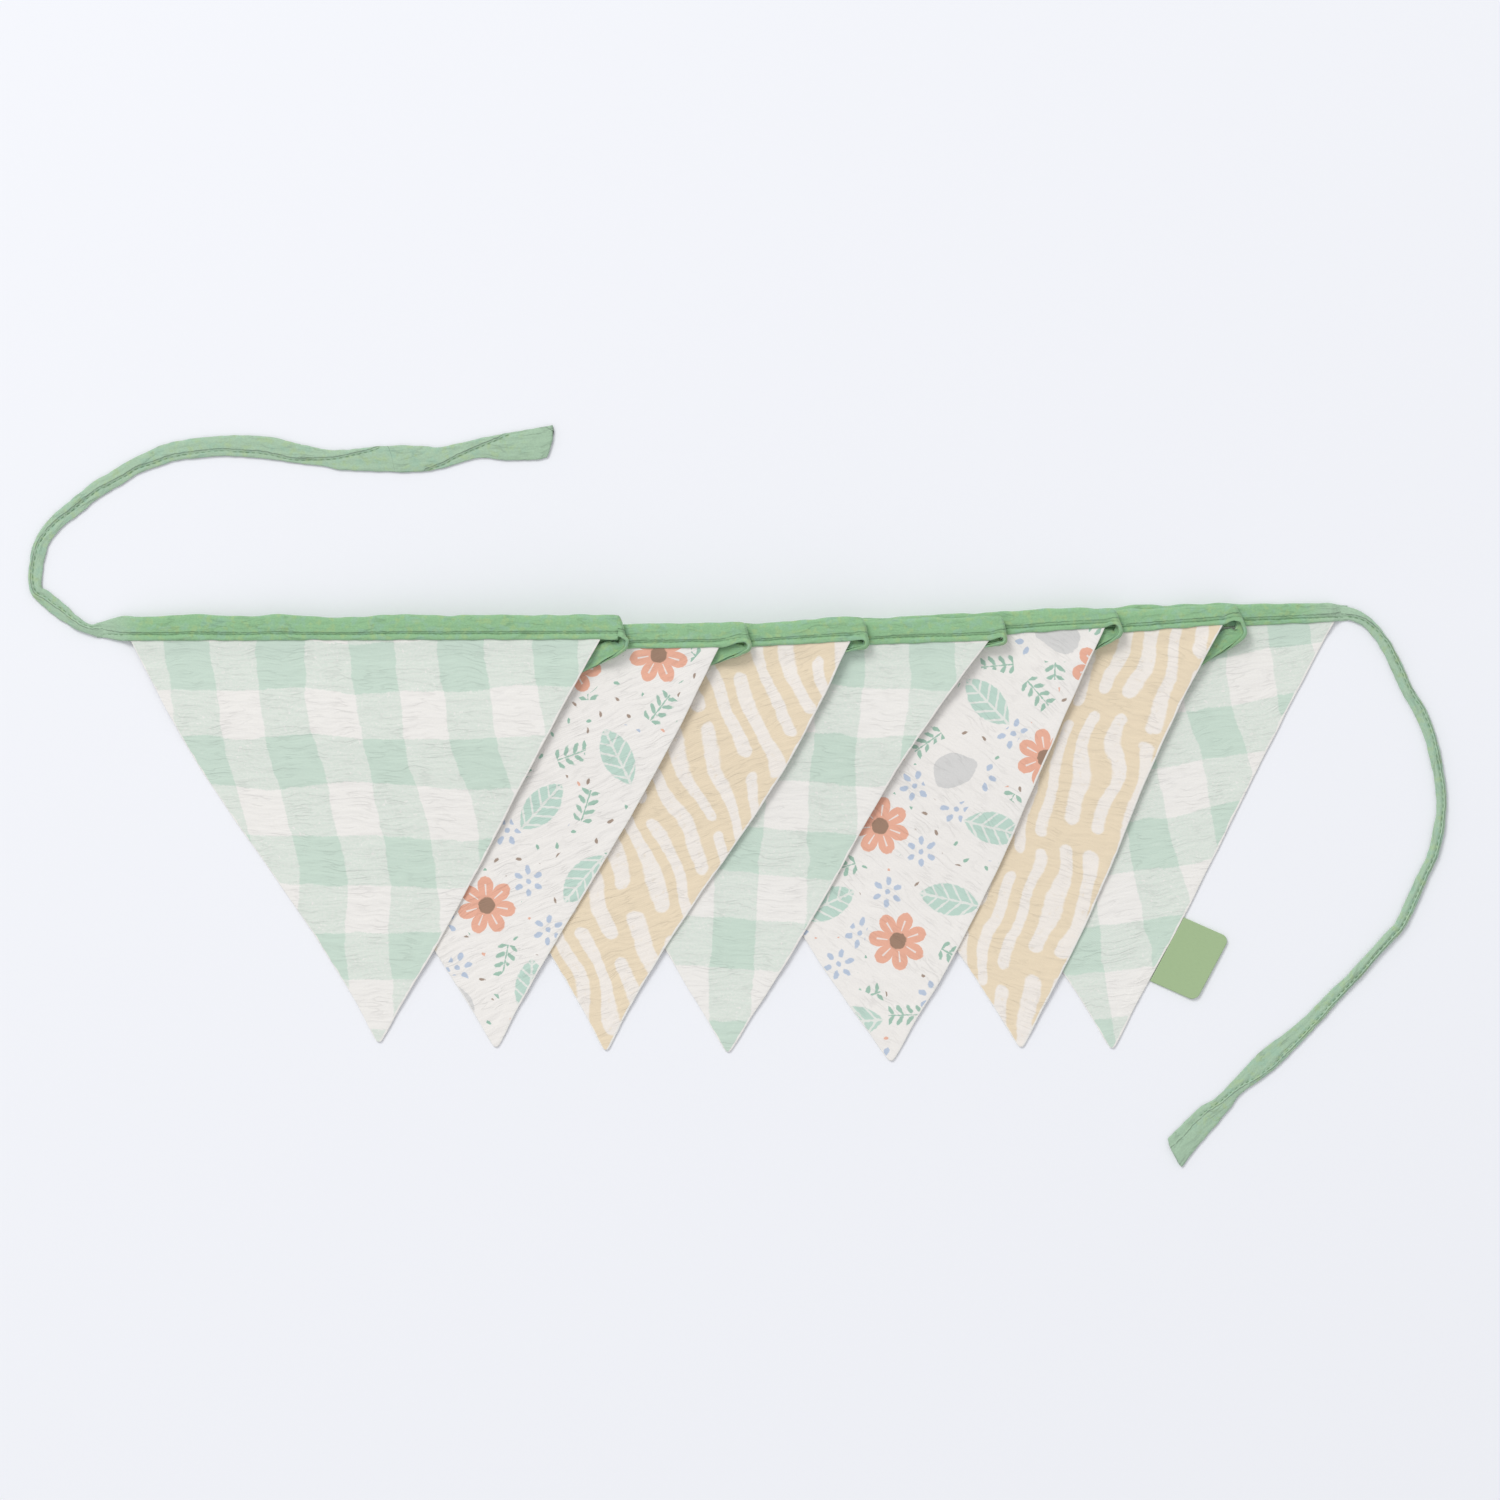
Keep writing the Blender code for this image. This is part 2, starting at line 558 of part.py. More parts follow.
def make_side_tab(finish):
    """The blank tab at the last flag's right seam, with rounded outer corners."""
    flag = FLAGS[LAST]
    top, bottom = side_edge(flag, 1, TAB_FROM), side_edge(flag, 1, TAB_TO)
    seam = (bottom - top).normalized()
    outwards = Vector((-seam.y, seam.x, 0.0))
    inner = [point + outwards * TOUCH_GAP for point in (top, bottom)]
    lean = seam * -TAB_LEAN
    corners = [inner[1] + outwards * TAB_REACH + lean, inner[0] + outwards * TAB_REACH + lean]
    rounded = [(corners[0] - outwards * TAB_CORNER - seam * TAB_CORNER, seam, outwards),
               (corners[1] - outwards * TAB_CORNER + seam * TAB_CORNER, outwards, -seam)]
    outline = list(inner)
    for centre, first, second in rounded:
        for step in range(CORNER_STEPS + 1):
            turn = math.pi / 2.0 * step / CORNER_STEPS
            outline.append(centre + (first * math.cos(turn) + second * math.sin(turn)) * TAB_CORNER)
    count = len(outline)
    points = outline + [point + UP * TAB_THICK for point in outline]
    faces = [tuple(reversed(range(count))), tuple(range(count, 2 * count))]
    for here in range(count):
        there = (here + 1) % count
        faces.append((here, there, there + count, here + count))
    return add_object("side_tab", points, faces, finish)


def main():
    for old in list(bpy.data.objects):
        bpy.data.objects.remove(old, do_unlink=True)
    for index, colour in enumerate(FLAG_COLOURS):
        make_flag(index, material(FLAGS[index].name + "_cloth", colour))
    make_binding(material("binding_cloth", TAPE_GREEN))
    tie_cloth = material("tie_cloth", TIE_GREEN)
    make_tie("tie_left", LEFT_TIE, tie_cloth)
    make_tie("tie_right", RIGHT_TIE, tie_cloth)
    make_side_tab(material("tab_cloth", TAB_GREEN))


main()
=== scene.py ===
# Fabric bunting, laid out and folded back and forth like a fan, dressed as an add-on.
# Seven muslin flags lie one over the next, with one folded binding and a tie at each end.
# Lengths are metres. +X is to the right, +Y is towards the headings, +Z is up.
import math
from collections import namedtuple

import bmesh
import bpy
import numpy as np
from bpy.props import FloatProperty, FloatVectorProperty, PointerProperty
from bpy.types import Operator, Panel, PropertyGroup
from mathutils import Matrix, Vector, noise


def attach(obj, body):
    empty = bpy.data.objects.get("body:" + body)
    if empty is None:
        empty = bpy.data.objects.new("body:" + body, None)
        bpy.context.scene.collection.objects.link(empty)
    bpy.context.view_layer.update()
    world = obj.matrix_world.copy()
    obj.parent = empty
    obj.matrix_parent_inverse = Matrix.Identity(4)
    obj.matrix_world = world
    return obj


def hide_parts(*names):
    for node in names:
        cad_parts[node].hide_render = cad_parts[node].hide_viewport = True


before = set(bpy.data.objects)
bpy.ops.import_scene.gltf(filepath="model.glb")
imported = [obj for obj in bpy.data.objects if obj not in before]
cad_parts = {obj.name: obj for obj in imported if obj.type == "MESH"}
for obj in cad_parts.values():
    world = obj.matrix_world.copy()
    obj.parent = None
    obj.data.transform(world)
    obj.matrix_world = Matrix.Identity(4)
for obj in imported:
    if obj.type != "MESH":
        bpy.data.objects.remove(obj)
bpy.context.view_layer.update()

bl_info = {
    "name": "Fabric bunting",
    "version": (1, 0, 0),
    "blender": (4, 5, 0),
    "location": "View3D > Sidebar > Bunting",
    "description": "Dresses a folded bunting: muslin flags, puckered binding, ties, tab and stitches",
    "category": "Object",
}

BODY = "root"
UP = Vector((0.0, 0.0, 1.0))
MILLI = 1000.0              # millimetres in a metre, for the patterns

# The fan, as the solids have it.
FLAG_THICK = 0.0010
TAPE_WIDTH = 0.0106
TAPE_THICK = 0.0012
HEADING_THICK = 0.0028
TILT_FROM = 0.6
TUCK = 0.0066
FLAG_IN_HEADING = 0.0009
PITCH_AT_HEADING = 0.0034
PITCH_AT_TIPS = 0.00135
PITCH_FROM = 0.040
PITCH_SPAN = 0.090
HEADING_LINE = 0.080
LEFT_EDGE_LEAN = 0.61
COVER_MARGIN = 0.0005
EDGE_REST = 0.15
KINK_ROUND = 0.06           # rounds the bends where a flag comes down from the one below
FOLD_FADE_FROM = 0.025
FOLD_FADE_SPAN = 0.045
CORNER_RISE = 0.0014
RISE_FROM = 0.038
RISE_SPAN = 0.026
RISE_FADE_FROM = 0.012
RISE_FADE_SPAN = 0.023
DROP_SPAN = 0.008
LEFT_FOLD_RADIUS = 0.00085
LEFT_FOLD_REACH = 0.020
LEFT_FOLD_ANGLE = 40.0
RETURN_HEIGHT = 0.0023
RETURN_OVER_HEADING = 0.0037
RETURN_PULL_RIGHT = 0.055
RETURN_PULL_LEFT = 0.050
START_REACH = 0.0146
END_REACH = 0.00605

Flag = namedtuple("Flag", "name cloth left right tip left_bow left_wave right_bow right_wave"
                  " end_width loop curl rise turn grain_x grain_y grain_turn sway")
# left, right, tip: corners on the heading's lower edge, and the lowest point (x, y).
# bow and wave: how far each side edge swells outwards, once and as an S.
# end_width: how wide the binding shows at the right corner. loop: how far it runs on past
# the corner before it turns. curl: the radius at which its open edge turns. rise: how far
# that edge draws up before the turn. turn: the angle at which it comes back, in degrees.
# grain_x, grain_y, grain_turn: where the flag's pattern starts and how it is turned, in
# degrees. sway: how far the cloth's grain drifts to the right on the way down.
FLAGS = (
    Flag("flag_1", "check", (-0.2543, 0.0817), (-0.0522, 0.0821), (-0.1477, -0.0907),
         0.0019, 0.0019, 0.0012, -0.0008, 0.0106, 0.0074, 0.0029, 0.0012, 37.0,
         -0.2494, 0.0503, 0.0, 0.019),
    Flag("flag_2", "print", (-0.2023, 0.0757), (-0.0015, 0.0787), (-0.0974, -0.0929),
         0.0008, 0.0, 0.0019, 0.0009, 0.0106, 0.0104, 0.0016, 0.0020, 27.0,
         -0.013, 0.038, 24.0, 0.0),
    Flag("flag_3", "stroke", (-0.1456, 0.0701), (0.0548, 0.0813), (-0.0501, -0.0942),
         0.0, 0.0, 0.0022, 0.0022, 0.0104, 0.0050, 0.0012, 0.0004, 13.0,
         0.018, 0.021, 20.0, 0.0),
    Flag("flag_4", "check", (-0.0905, 0.0744), (0.1142, 0.0817), (0.0024, -0.0950),
         0.0016, -0.0014, -0.0020, -0.0019, 0.0104, 0.0052, 0.0008, 0.0010, 11.0,
         0.0690, 0.0512, -3.0, 0.0),
    Flag("flag_5", "print", (-0.0363, 0.0735), (0.1640, 0.0873), (0.0725, -0.0988),
         0.0018, -0.0022, 0.0043, -0.0012, 0.0088, 0.0036, 0.0023, 0.0008, 32.0,
         0.171, -0.043, -38.0, 0.0),
    Flag("flag_6", "stroke", (0.0226, 0.0735), (0.2148, 0.0886), (0.1284, -0.0929),
         0.0006, -0.0006, 0.0006, -0.0020, 0.0088, 0.0046, 0.0040, 0.0012, 40.0,
         0.103, 0.064, -14.0, 0.0),
    Flag("flag_7", "check", (0.0626, 0.0808), (0.2629, 0.0899), (0.1675, -0.0933),
         0.0004, -0.0010, 0.0007, -0.0007, 0.0086, 0.0, 0.0, 0.0, 0.0,
         0.1940, 0.0186, 9.0, 0.008),
)
LAST = len(FLAGS) - 1

# The flags' cloth.
FLAG_COLUMNS = 74
FLAG_ROWS = 168
LAST_EVEN_ROW = 0.99        # share of the way to the tip
HEM_ROWS = (1.0, 0.5)       # rows hidden in the heading, as shares of TUCK
TIP_ROWS = (0.9925, 0.9955, 0.9975, 0.9988, 0.9995, 1.0)
TIP_RADIUS = 0.0015
TIP_TANGENT = 0.52          # the round tip meets the straight edges this many radii up
TIP_LEAST = 0.0003
TIP_WIDEN = 1.2             # how much wider the cloth gets there, in radii
TIP_FROM = 0.9              # share of the way to the tip where it starts to
TIP_SPAN = 0.09
EDGE_STEPS = (0.0, 0.00005, 0.00014, 0.00030, 0.0012)
EDGE_ROUND = 0.00026
SEAM_RIDGE = 0.00010        # the turned-in cloth makes the edge this much thicker
SEAM_FROM = 0.0052
SEAM_STEP = 0.0009
SEAM_ROUND = 0.001
CLOTH_SHARE = 0.65          # the cloth is thinner than the solid that stands for it
TUCK_TRIM = 0.035           # the hidden hem is this much shorter than the heading
WRINKLE_LONG = 0.022
WRINKLE_SHORT = 0.0042
WRINKLE_DRIFT = 0.9         # of WRINKLE_SHORT
WRINKLE_DRIFT_SIZE = 0.03
WRINKLE_FROM = 0.0005       # depth below the heading
WRINKLE_SPAN = 0.004
SWAY_SPAN = 0.115
EDGE_WAVER = 0.00035
EDGE_WAVES = 14.0           # waves of a side edge on its way to the tip
EDGE_WAVER_FADE = 8.0       # they fade over the last eighth of it
EDGE_OVER_CURL = 0.0009     # a flag's edge rides up over the curled tape
HUMP_SIZE = 0.006
HUMP_AT = 0.0075            # depth below the heading

# The binding's section: place across from the open edge, and height over half the thickness.
GROOVE_AT = 0.245
FRONT = ((0.0, 0.40), (0.015, 0.70), (0.05, 0.86), (0.105, 0.92), (0.165, 0.86), (0.215, 0.72),
         (0.236, 0.50), (0.254, 0.50), (0.272, 0.80), (0.31, 0.98), (0.39, 1.08), (0.50, 1.10),
         (0.61, 1.10), (0.72, 1.08), (0.83, 1.02), (0.92, 0.86), (0.97, 0.60), (1.0, 0.20))
BACK = ((1.0, -0.20), (0.97, -0.62), (0.90, -0.90), (0.76, -1.0), (0.60, -1.0), (0.44, -1.0),
        (0.30, -0.96), (0.245, -0.72), (0.19, -0.94), (0.09, -0.94), (0.015, -0.72), (0.0, -0.40))
NOTCH = ((1.0, -0.10), (1.0, 0.10))     # shares of the notch's depth, between the two walls
HEADING_STEP = 0.0015
RETURN_STEP = 0.0032
CURL_STEP = 0.0007
FOLD_STEPS = 8
LOWEST = 0.00004
HEADING_NOTCH = 0.0009
FREE_THICK = 0.0008         # the hidden tape between two flags, pressed flat
HELD_BEFORE = 0.005         # a heading thickens from this far before the left corner
HELD_SPAN = 0.004
HELD_PAST = 0.0022          # and thins over this length past the right corner
SKEW_SPAN = 0.012           # over which a section turns back from a crease
CUT_THICK = 0.3             # share of the thickness where tape and tie run into each other
CUT_SPAN = 0.005
GROOVE_STRAY = 0.030        # share of the width
GROOVE_LENGTH = 0.0085      # of one wave in which the groove strays
GROOVE_SPREAD = 0.07        # share of the width that strays with it
PUCKER_LENGTH = 0.0060
BULGE_LENGTH, BULGE_HIGH = 0.022, 0.000084
TAPE_EDGE_LENGTH, TAPE_EDGE_WAVER = 0.0075, 0.00050
TAPE_SWELLS = ((0.0013, 0.030, 2.0), (0.0007, 0.012, 5.0))     # width, length, seed
BACK_MAP = 0.02             # where the back starts in the cloth's map, across the tape
# How the tape turns under, before (-1), round (0 to 1) and after (to 2) a curl. flat: the
# share of its width that lies flat from the open edge to the fold. slope: how far the tape
# has tipped at its open edge, in degrees. thick and notch: against a flat tape. width: from
# 0, where it is gathered round the curl, to 1, a flat tape.
Roll = namedtuple("Roll", "place flat slope thick width notch")
ROLLS = (Roll(-1.0, 1.00, 0.0, 1.0, 1.0, 1.0), Roll(0.0, 0.86, 0.0, 1.0, 1.0, 1.0),
         Roll(0.06, 0.55, 0.0, 1.05, 0.90, 1.1), Roll(0.12, 0.30, 0.0, 1.15, 0.70, 1.3),
         Roll(0.20, 0.12, 3.0, 1.25, 0.45, 1.6), Roll(0.28, 0.03, 9.0, 1.35, 0.25, 1.9),
         Roll(0.45, 0.0, 20.0, 1.5, 0.0, 2.3), Roll(1.0, 0.0, 27.0, 1.5, 0.0, 2.3),
         Roll(1.28, 0.0, 42.0, 1.4, 0.10, 2.0), Roll(1.52, 0.0, 82.0, 1.25, 0.30, 1.6),
         Roll(1.76, 0.0, 134.0, 1.1, 0.65, 1.3), Roll(2.0, 0.0, 180.0, 1.0, 1.0, 1.0))
CURL_BEFORE = 0.0024
CURL_AFTER = 0.0165
CURL_STEPS = 30
CURL_CROWD = 1.6            # crowds the sections where the fold crosses the tape
CURL_SOFT = np.linspace(-0.03, 0.03, 5)
FOLD_RADIUS = 0.00165
RETURN_CLEAR = 0.0095       # the tape sinks once it is this far below the next heading
RETURN_CLEAR_SPAN = 0.009
DROP_BY, DROP_BY_SPAN = 0.7, 0.15       # or by this share of the way back
UNROLL_SPAN, UNROLLED, UNROLLED_SPAN = 0.3, 1.7, 0.6   # places on a curl, as in ROLLS
PRESS_SPAN, PRESS_LEFT = 0.5, 0.2       # how the tape goes flat, and thick again at the end
RETURN_SAMPLES = 240
SKEW_SAMPLES = 16.0         # samples over which it turns into the next crease
ROLLED_CLEAR, ROLLED_CLEAR_SPAN = 0.0035, 0.006
GATHER = 1.15               # how far into the curl the gathered tape reaches, in radii
UNDER_GATHER = 0.0022       # and how much further past the curl
CURL_UNEVEN = 0.22
# How the first heading narrows to its tie, and the last one: width, rise and span.
START_WIDTH, START_RISE, START_SPAN = 0.0064, 0.0014, 0.0125
END_WIDTH, END_RISE, END_SPAN = 0.0058, 0.0004, 0.0105

# The ties, as points (x, y, width, line). line: where the front layer's edge runs, -1 to +1
# across. Past 1.5 it comes back in at -1.5, where the strip has turned over.
LEFT_TIE = (
    (-0.2644, 0.0865, 0.0062, -0.5), (-0.2680, 0.0864, 0.0060, -0.5), (-0.2718, 0.0867, 0.0042, -0.5),
    (-0.2769, 0.0889, 0.0048, -0.4), (-0.2840, 0.0942, 0.0064, -0.3), (-0.2913, 0.1002, 0.0064, -0.1),
    (-0.2952, 0.1041, 0.0054, 0.2), (-0.2952, 0.1131, 0.0060, 0.4), (-0.2926, 0.1243, 0.0062, 0.2),
    (-0.2862, 0.1329, 0.0065, 0.0), (-0.2793, 0.1385, 0.0069, -0.1), (-0.2694, 0.1466, 0.0070, -0.2),
    (-0.2612, 0.1514, 0.0070, -0.3), (-0.2531, 0.1565, 0.0070, -0.4), (-0.2449, 0.1600, 0.0076, -0.5),
    (-0.2367, 0.1630, 0.0080, -0.5), (-0.2251, 0.1647, 0.0084, -0.5), (-0.2118, 0.1656, 0.0088, -0.5),
    (-0.1954, 0.1647, 0.0094, -0.6), (-0.1838, 0.1625, 0.0084, -0.7), (-0.1709, 0.1604, 0.0074, -0.2),
    (-0.1628, 0.1595, 0.0086, 0.3), (-0.1460, 0.1600, 0.0110, 0.9), (-0.1296, 0.1600, 0.0112, 1.9),
    (-0.1215, 0.1604, 0.0092, 2.3), (-0.1133, 0.1625, 0.0082, 2.7), (-0.1034, 0.1647, 0.0084, 3.2),
    (-0.0935, 0.1651, 0.0114, 3.8), (-0.0802, 0.1664, 0.0134, 4.0), (-0.0734, 0.1677, 0.0136, 4.1),
)
RIGHT_TIE = (
    (0.2640, 0.0938, 0.0058, -0.5), (0.2680, 0.0936, 0.0056, -0.5), (0.2720, 0.0926, 0.0052, -0.3),
    (0.2772, 0.0896, 0.0048, 0.0), (0.2822, 0.0840, 0.0048, 0.3), (0.2862, 0.0778, 0.0050, 0.4),
    (0.2900, 0.0701, 0.0052, 0.4), (0.2943, 0.0606, 0.0052, 0.4), (0.2999, 0.0512, 0.0055, 0.4),
    (0.3042, 0.0404, 0.0049, 0.4), (0.3068, 0.0297, 0.0048, 0.3), (0.3085, 0.0198, 0.0045, 0.3),
    (0.3090, 0.0099, 0.0043, 0.3), (0.3077, -0.0004, 0.0047, 0.3), (0.3051, -0.0108, 0.0045, 0.3),
    (0.3008, -0.0198, 0.0046, 0.3), (0.2965, -0.0297, 0.0051, 0.3), (0.2913, -0.0404, 0.0047, 0.3),
    (0.2866, -0.0456, 0.0046, 0.3), (0.2784, -0.0546, 0.0046, 0.4), (0.2707, -0.0632, 0.0049, 0.4),
    (0.2634, -0.0705, 0.0056, 0.4), (0.2539, -0.0808, 0.0064, 0.4), (0.2449, -0.0894, 0.0076, 0.5),
    (0.2354, -0.0976, 0.0096, 0.6), (0.2281, -0.1041, 0.0086, 0.5), (0.2204, -0.1109, 0.0064, 0.0),
    (0.2148, -0.1174, 0.0076, -0.4), (0.2075, -0.1238, 0.0104, -0.5), (0.1985, -0.1335, 0.0116, -0.5),
    (0.1941, -0.1388, 0.0120, -0.6),
)
TIE_STEP = 0.0012
TIE_CURVE_STEPS = 14
TIE_THICK = 0.0014
TIE_SECTION = 0.0000140     # thickness times width where the tie is pinched
TIE_THICK_MOST = 0.0023
TIE_LEAST = 0.0003
TIE_TOP_POINTS = 21
TIE_BOTTOM_POINTS = 9
TIE_LAYER = 0.00042
TIE_GROOVE = 0.00070
TIE_GROOVE_WIDTH = 0.00040
TIE_SLANT = 0.0026          # the cut end slants by this much
TIE_CUT_SPAN = 0.012
TIE_FRAY, TIE_CORNERS = 0.0007, 0.0009     # how it frays, and how its corners round off
TIE_SWELL = 0.06            # share of the width
TIE_EDGE_WAVER = 0.00025
TIE_LAYER_STEP = 0.0005
LINE_WAVER = 0.08
SEWN_WITHIN = 0.85          # stitches show where the line is this far in
SEWN_DEEP = 0.6             # and lie this deep in the groove, as a share
TIE_START_SPAN = 0.006
TIE_EDGE = 0.42             # thickness at the side edges, as a share
LINE_RANGE = 1.5
LINE_FADE = 0.3

# The side tab, sewn into the last flag's right seam.
TAB_FROM = 0.69
TAB_TO = 0.84
TAB_REACH = 0.0215
TAB_LEAN = 0.0016
TAB_CORNER = 0.0034
TAB_THICK = 0.0009
TAB_GAP = 0.0002
TAB_CURL = 0.0005
TAB_LIFT = 0.00005          # off the surface
TAB_COLUMNS = 46
TAB_ROWS = 56

FLOOR_DROP = 0.0002
FLOOR_SIZE = 8.0
KEY_PLACE = (-2.3, 3.4, 4.4)


def screen(red, green, blue):
    """A colour in Blender's linear values, from the 0 to 255 values seen on a screen."""
    made = []
    for value in (red, green, blue):
        share = value / 255.0
        made.append(share / 12.92 if share <= 0.04045 else ((share + 0.055) / 1.055) ** 2.4)
    return (*made, 1.0)


def colour(label, note, *values):
    return FloatVectorProperty(name=label, description=note, subtype="COLOR", size=4,
                               min=0.0, max=1.0, default=screen(*values))


def length(label, note, default):
    return FloatProperty(name=label, description=note, default=default, min=0.0,
                         unit="LENGTH", precision=5)


class BuntingSizes(PropertyGroup):
    """Sizes of the cloth's finish and of the sewing."""
    crinkle: length("Crinkle height", "How high the muslin's wrinkles stand", 0.00016)
    yarn: length("Yarn pitch", "From one yarn of the muslin to the next", 0.00056)
    square_wide: length("Check width", "Width of one square of the check", 0.01975)
    square_high: length("Check height", "Height of one square of the check", 0.0208)
    motif_pitch: length("Motif pitch", "From one large printed motif to the next", 0.038)
    spray_pitch: length("Spray pitch", "From one printed spray to the next", 0.021)
    seed_pitch: length("Seed pitch", "From one small printed seed to the next", 0.0085)
    stroke_pitch: length("Stroke pitch", "From one cream stroke to the next", 0.0112)
    stroke_width: length("Stroke width", "Width of a cream stroke", 0.0058)
    stroke_length: length("Stroke length", "From one break in a stroke to the next", 0.058)
    pucker: length("Pucker", "How much the sewn binding puckers", 0.00026)
    stitch_pitch: length("Stitch pitch", "From one stitch to the next", 0.0027)
    stitch_length: length("Stitch length", "How much of a stitch shows", 0.0019)
    thread: length("Thread", "Thickness of the sewing thread", 0.00030)


class BuntingColours(PropertyGroup):
    """Colours of the cloths, as seen on a screen."""
    check_green: colour("Check green", "Dyed yarn of the check", 203, 221, 206)
    check_white: colour("Check white", "Undyed yarn of the check", 241, 238, 232)
    lining: colour("Lining", "The cloth on the flags' backs", 243, 240, 233)
    ground: colour("Print ground", "Ground of the printed cloth", 242, 238, 232)
    coral: colour("Coral", "Printed flowers", 236, 172, 144)
    sage: colour("Sage", "Printed leaf sprays", 134, 184, 160)
    mist: colour("Mist", "Large pale printed leaves", 186, 215, 200)
    rain: colour("Rain", "Printed berries", 182, 197, 217)
    slate: colour("Slate", "Large grey printed shapes", 214, 213, 210)
    bark: colour("Bark", "Printed seeds", 150, 124, 104)
    sand: colour("Sand", "Large pale printed shapes", 237, 222, 198)
    beige: colour("Beige", "Ground of the stroked cloth", 236, 219, 190)
    cream: colour("Cream", "Strokes on the beige cloth", 243, 236, 227)
    tape: colour("Binding green", "The binding", 146, 189, 143)
    tape_warm: colour("Binding warm spots", "Yellowish spots in the binding", 172, 196, 132)
    tape_cool: colour("Binding cool spots", "Bluish spots in the binding", 150, 190, 170)
    tie: colour("Tie green", "The ties", 168, 196, 168)
    tab: colour("Tab green", "The side tab", 166, 190, 144)


class BuntingStage(PropertyGroup):
    """The camera, the light and the floor."""
    frame_width: length("Frame width", "How much of the surface the picture is wide", 0.645)
    centre_x: length("Centre X", "The picture's middle, to the right of the origin", 0.0118)
    centre_y: length("Centre Y", "The picture's middle, behind the origin", 0.0348)
    lens: FloatProperty(name="Lens", description="Focal length of the camera in millimetres",
                        default=200.0, min=1.0, unit="CAMERA")
    sensor: FloatProperty(name="Sensor", description="Width of the camera's sensor",
                          default=36.0, min=1.0, unit="CAMERA")
    key: FloatProperty(name="Key light", description="Power of the main light in watts",
                       default=160.0, min=0.0)
    key_size: length("Key size", "Width of the main light", 2.6)
    sky: FloatProperty(name="Sky", description="Strength of the even light", default=0.685,
                       min=0.0)
    sky_tint: colour("Sky tint", "Colour of the even light", 249, 250, 254)
    floor: colour("Floor", "Colour of the floor", 245, 246, 249)


def smooth(t):
    """A soft step from 0 to 1."""
    t = np.clip(t, 0.0, 1.0)
    return t * t * (3.0 - 2.0 * t)


def ramp(value, start, span):
    """A soft step from 0 at start to 1 at the end of the span."""
    return smooth((value - start) / span)


def bearing(degrees):
    """The flat unit vector at an angle from +X."""
    return Vector((math.cos(math.radians(degrees)), math.sin(math.radians(degrees)), 0.0))


def flat(point):
    return Vector((point[0], point[1], 0.0))


def heading_frame(flag):
    """The direction along a flag's heading, the one across it, and its angle and length."""
    run = flat(flag.right) - flat(flag.left)
    angle = math.degrees(math.atan2(run.y, run.x))
    return bearing(angle), bearing(angle + 90.0), angle, run.length


def side_edge(flag, side, share):
    """Points on the left (-1) or right (+1) edge, at shares of the way to the tip."""
    corner = flag.left if side < 0 else flag.right
    bow, wave = (flag.left_bow, flag.left_wave) if side < 0 else (flag.right_bow, flag.right_wave)
    run_x, run_y = flag.tip[0] - corner[0], flag.tip[1] - corner[1]
    size = math.hypot(run_x, run_y)
    swell = bow * np.sin(math.pi * share) + wave * np.sin(2.0 * math.pi * share)
    swell = swell * side / size
    return corner[0] + run_x * share - run_y * swell, corner[1] + run_y * share + run_x * swell


def cover_start(index, with_fold):
    """Where a unit begins: its flag's left edge, or the fold of its binding."""
    flag = FLAGS[index]
    x, y = side_edge(flag, -1, np.linspace(0.0, 1.0, 11))
    starts = list(x - LEFT_EDGE_LEAN * (HEADING_LINE - y))
    if with_fold:
        reach = START_REACH if index == 0 else LEFT_FOLD_REACH + TAPE_WIDTH / 2.0
        fold = flat(flag.left) - heading_frame(flag)[0] * reach
        starts.append(fold.x - LEFT_EDGE_LEAN * (HEADING_LINE - fold.y))
    return min(starts) - COVER_MARGIN


FOLD_STARTS = [cover_start(index, True) for index in range(len(FLAGS))]
EDGE_STARTS = [cover_start(index, False) for index in range(len(FLAGS))]


def units_at(x, y):
    """How many units lie here past the first, rising from each unit's start to the next."""
    share = smooth((HEADING_LINE - y - FOLD_FADE_FROM) / FOLD_FADE_SPAN)
    starts = [fold + (edge - fold) * share for fold, edge in zip(FOLD_STARTS, EDGE_STARTS)]
    place = x - LEFT_EDGE_LEAN * (HEADING_LINE - y)
    units = 0.0
    for here, there in zip(starts, starts[1:]):
        climb = ((place - here) / (there - here) - EDGE_REST) / (1.0 - EDGE_REST)
        climb = (climb + np.sqrt(climb * climb + KINK_ROUND ** 2)) / 2.0
        units = units + np.minimum(climb, 1.0)
    return units


def lift(index, x, y):
    """The height at which a unit lies on the ones to its right."""
    shrink = smooth((HEADING_LINE - y - PITCH_FROM) / PITCH_SPAN)
    pitch = PITCH_AT_HEADING - (PITCH_AT_HEADING - PITCH_AT_TIPS) * shrink
    return np.maximum(0.0, units_at(x, y) - index) * pitch


def own_depth(flag, x, y):
    """The depth below a flag's own heading."""
    across = heading_frame(flag)[1]
    return (flag.left[0] - x) * across.x + (flag.left[1] - y) * across.y


def unit_height(index, x, y):
    """The base of a flag and its heading, lifted near the right corner over the tape."""
    height = lift(index, x, y)
    if index == LAST:
        return height
    flag = FLAGS[index]
    ramp = smooth((x - flag.right[0] + RISE_FROM) / RISE_SPAN)
    fade = 1.0 - smooth((own_depth(flag, x, y) - RISE_FADE_FROM) / RISE_FADE_SPAN)
    return height + CORNER_RISE * ramp * fade


def waver(*values):
    """Even noise between about -1 and 1 at a place."""
    return noise.noise(Vector(values))


def add_object(name, data):
    made = bpy.data.objects.new(name, data)
    bpy.context.scene.collection.objects.link(made)
    return made


def add_mesh(name, points, faces, finishes):
    mesh = bpy.data.meshes.new(name)
    mesh.from_pydata(points, [], faces)
    for finish in finishes:
        mesh.materials.append(finish)
    return add_object(name, mesh)


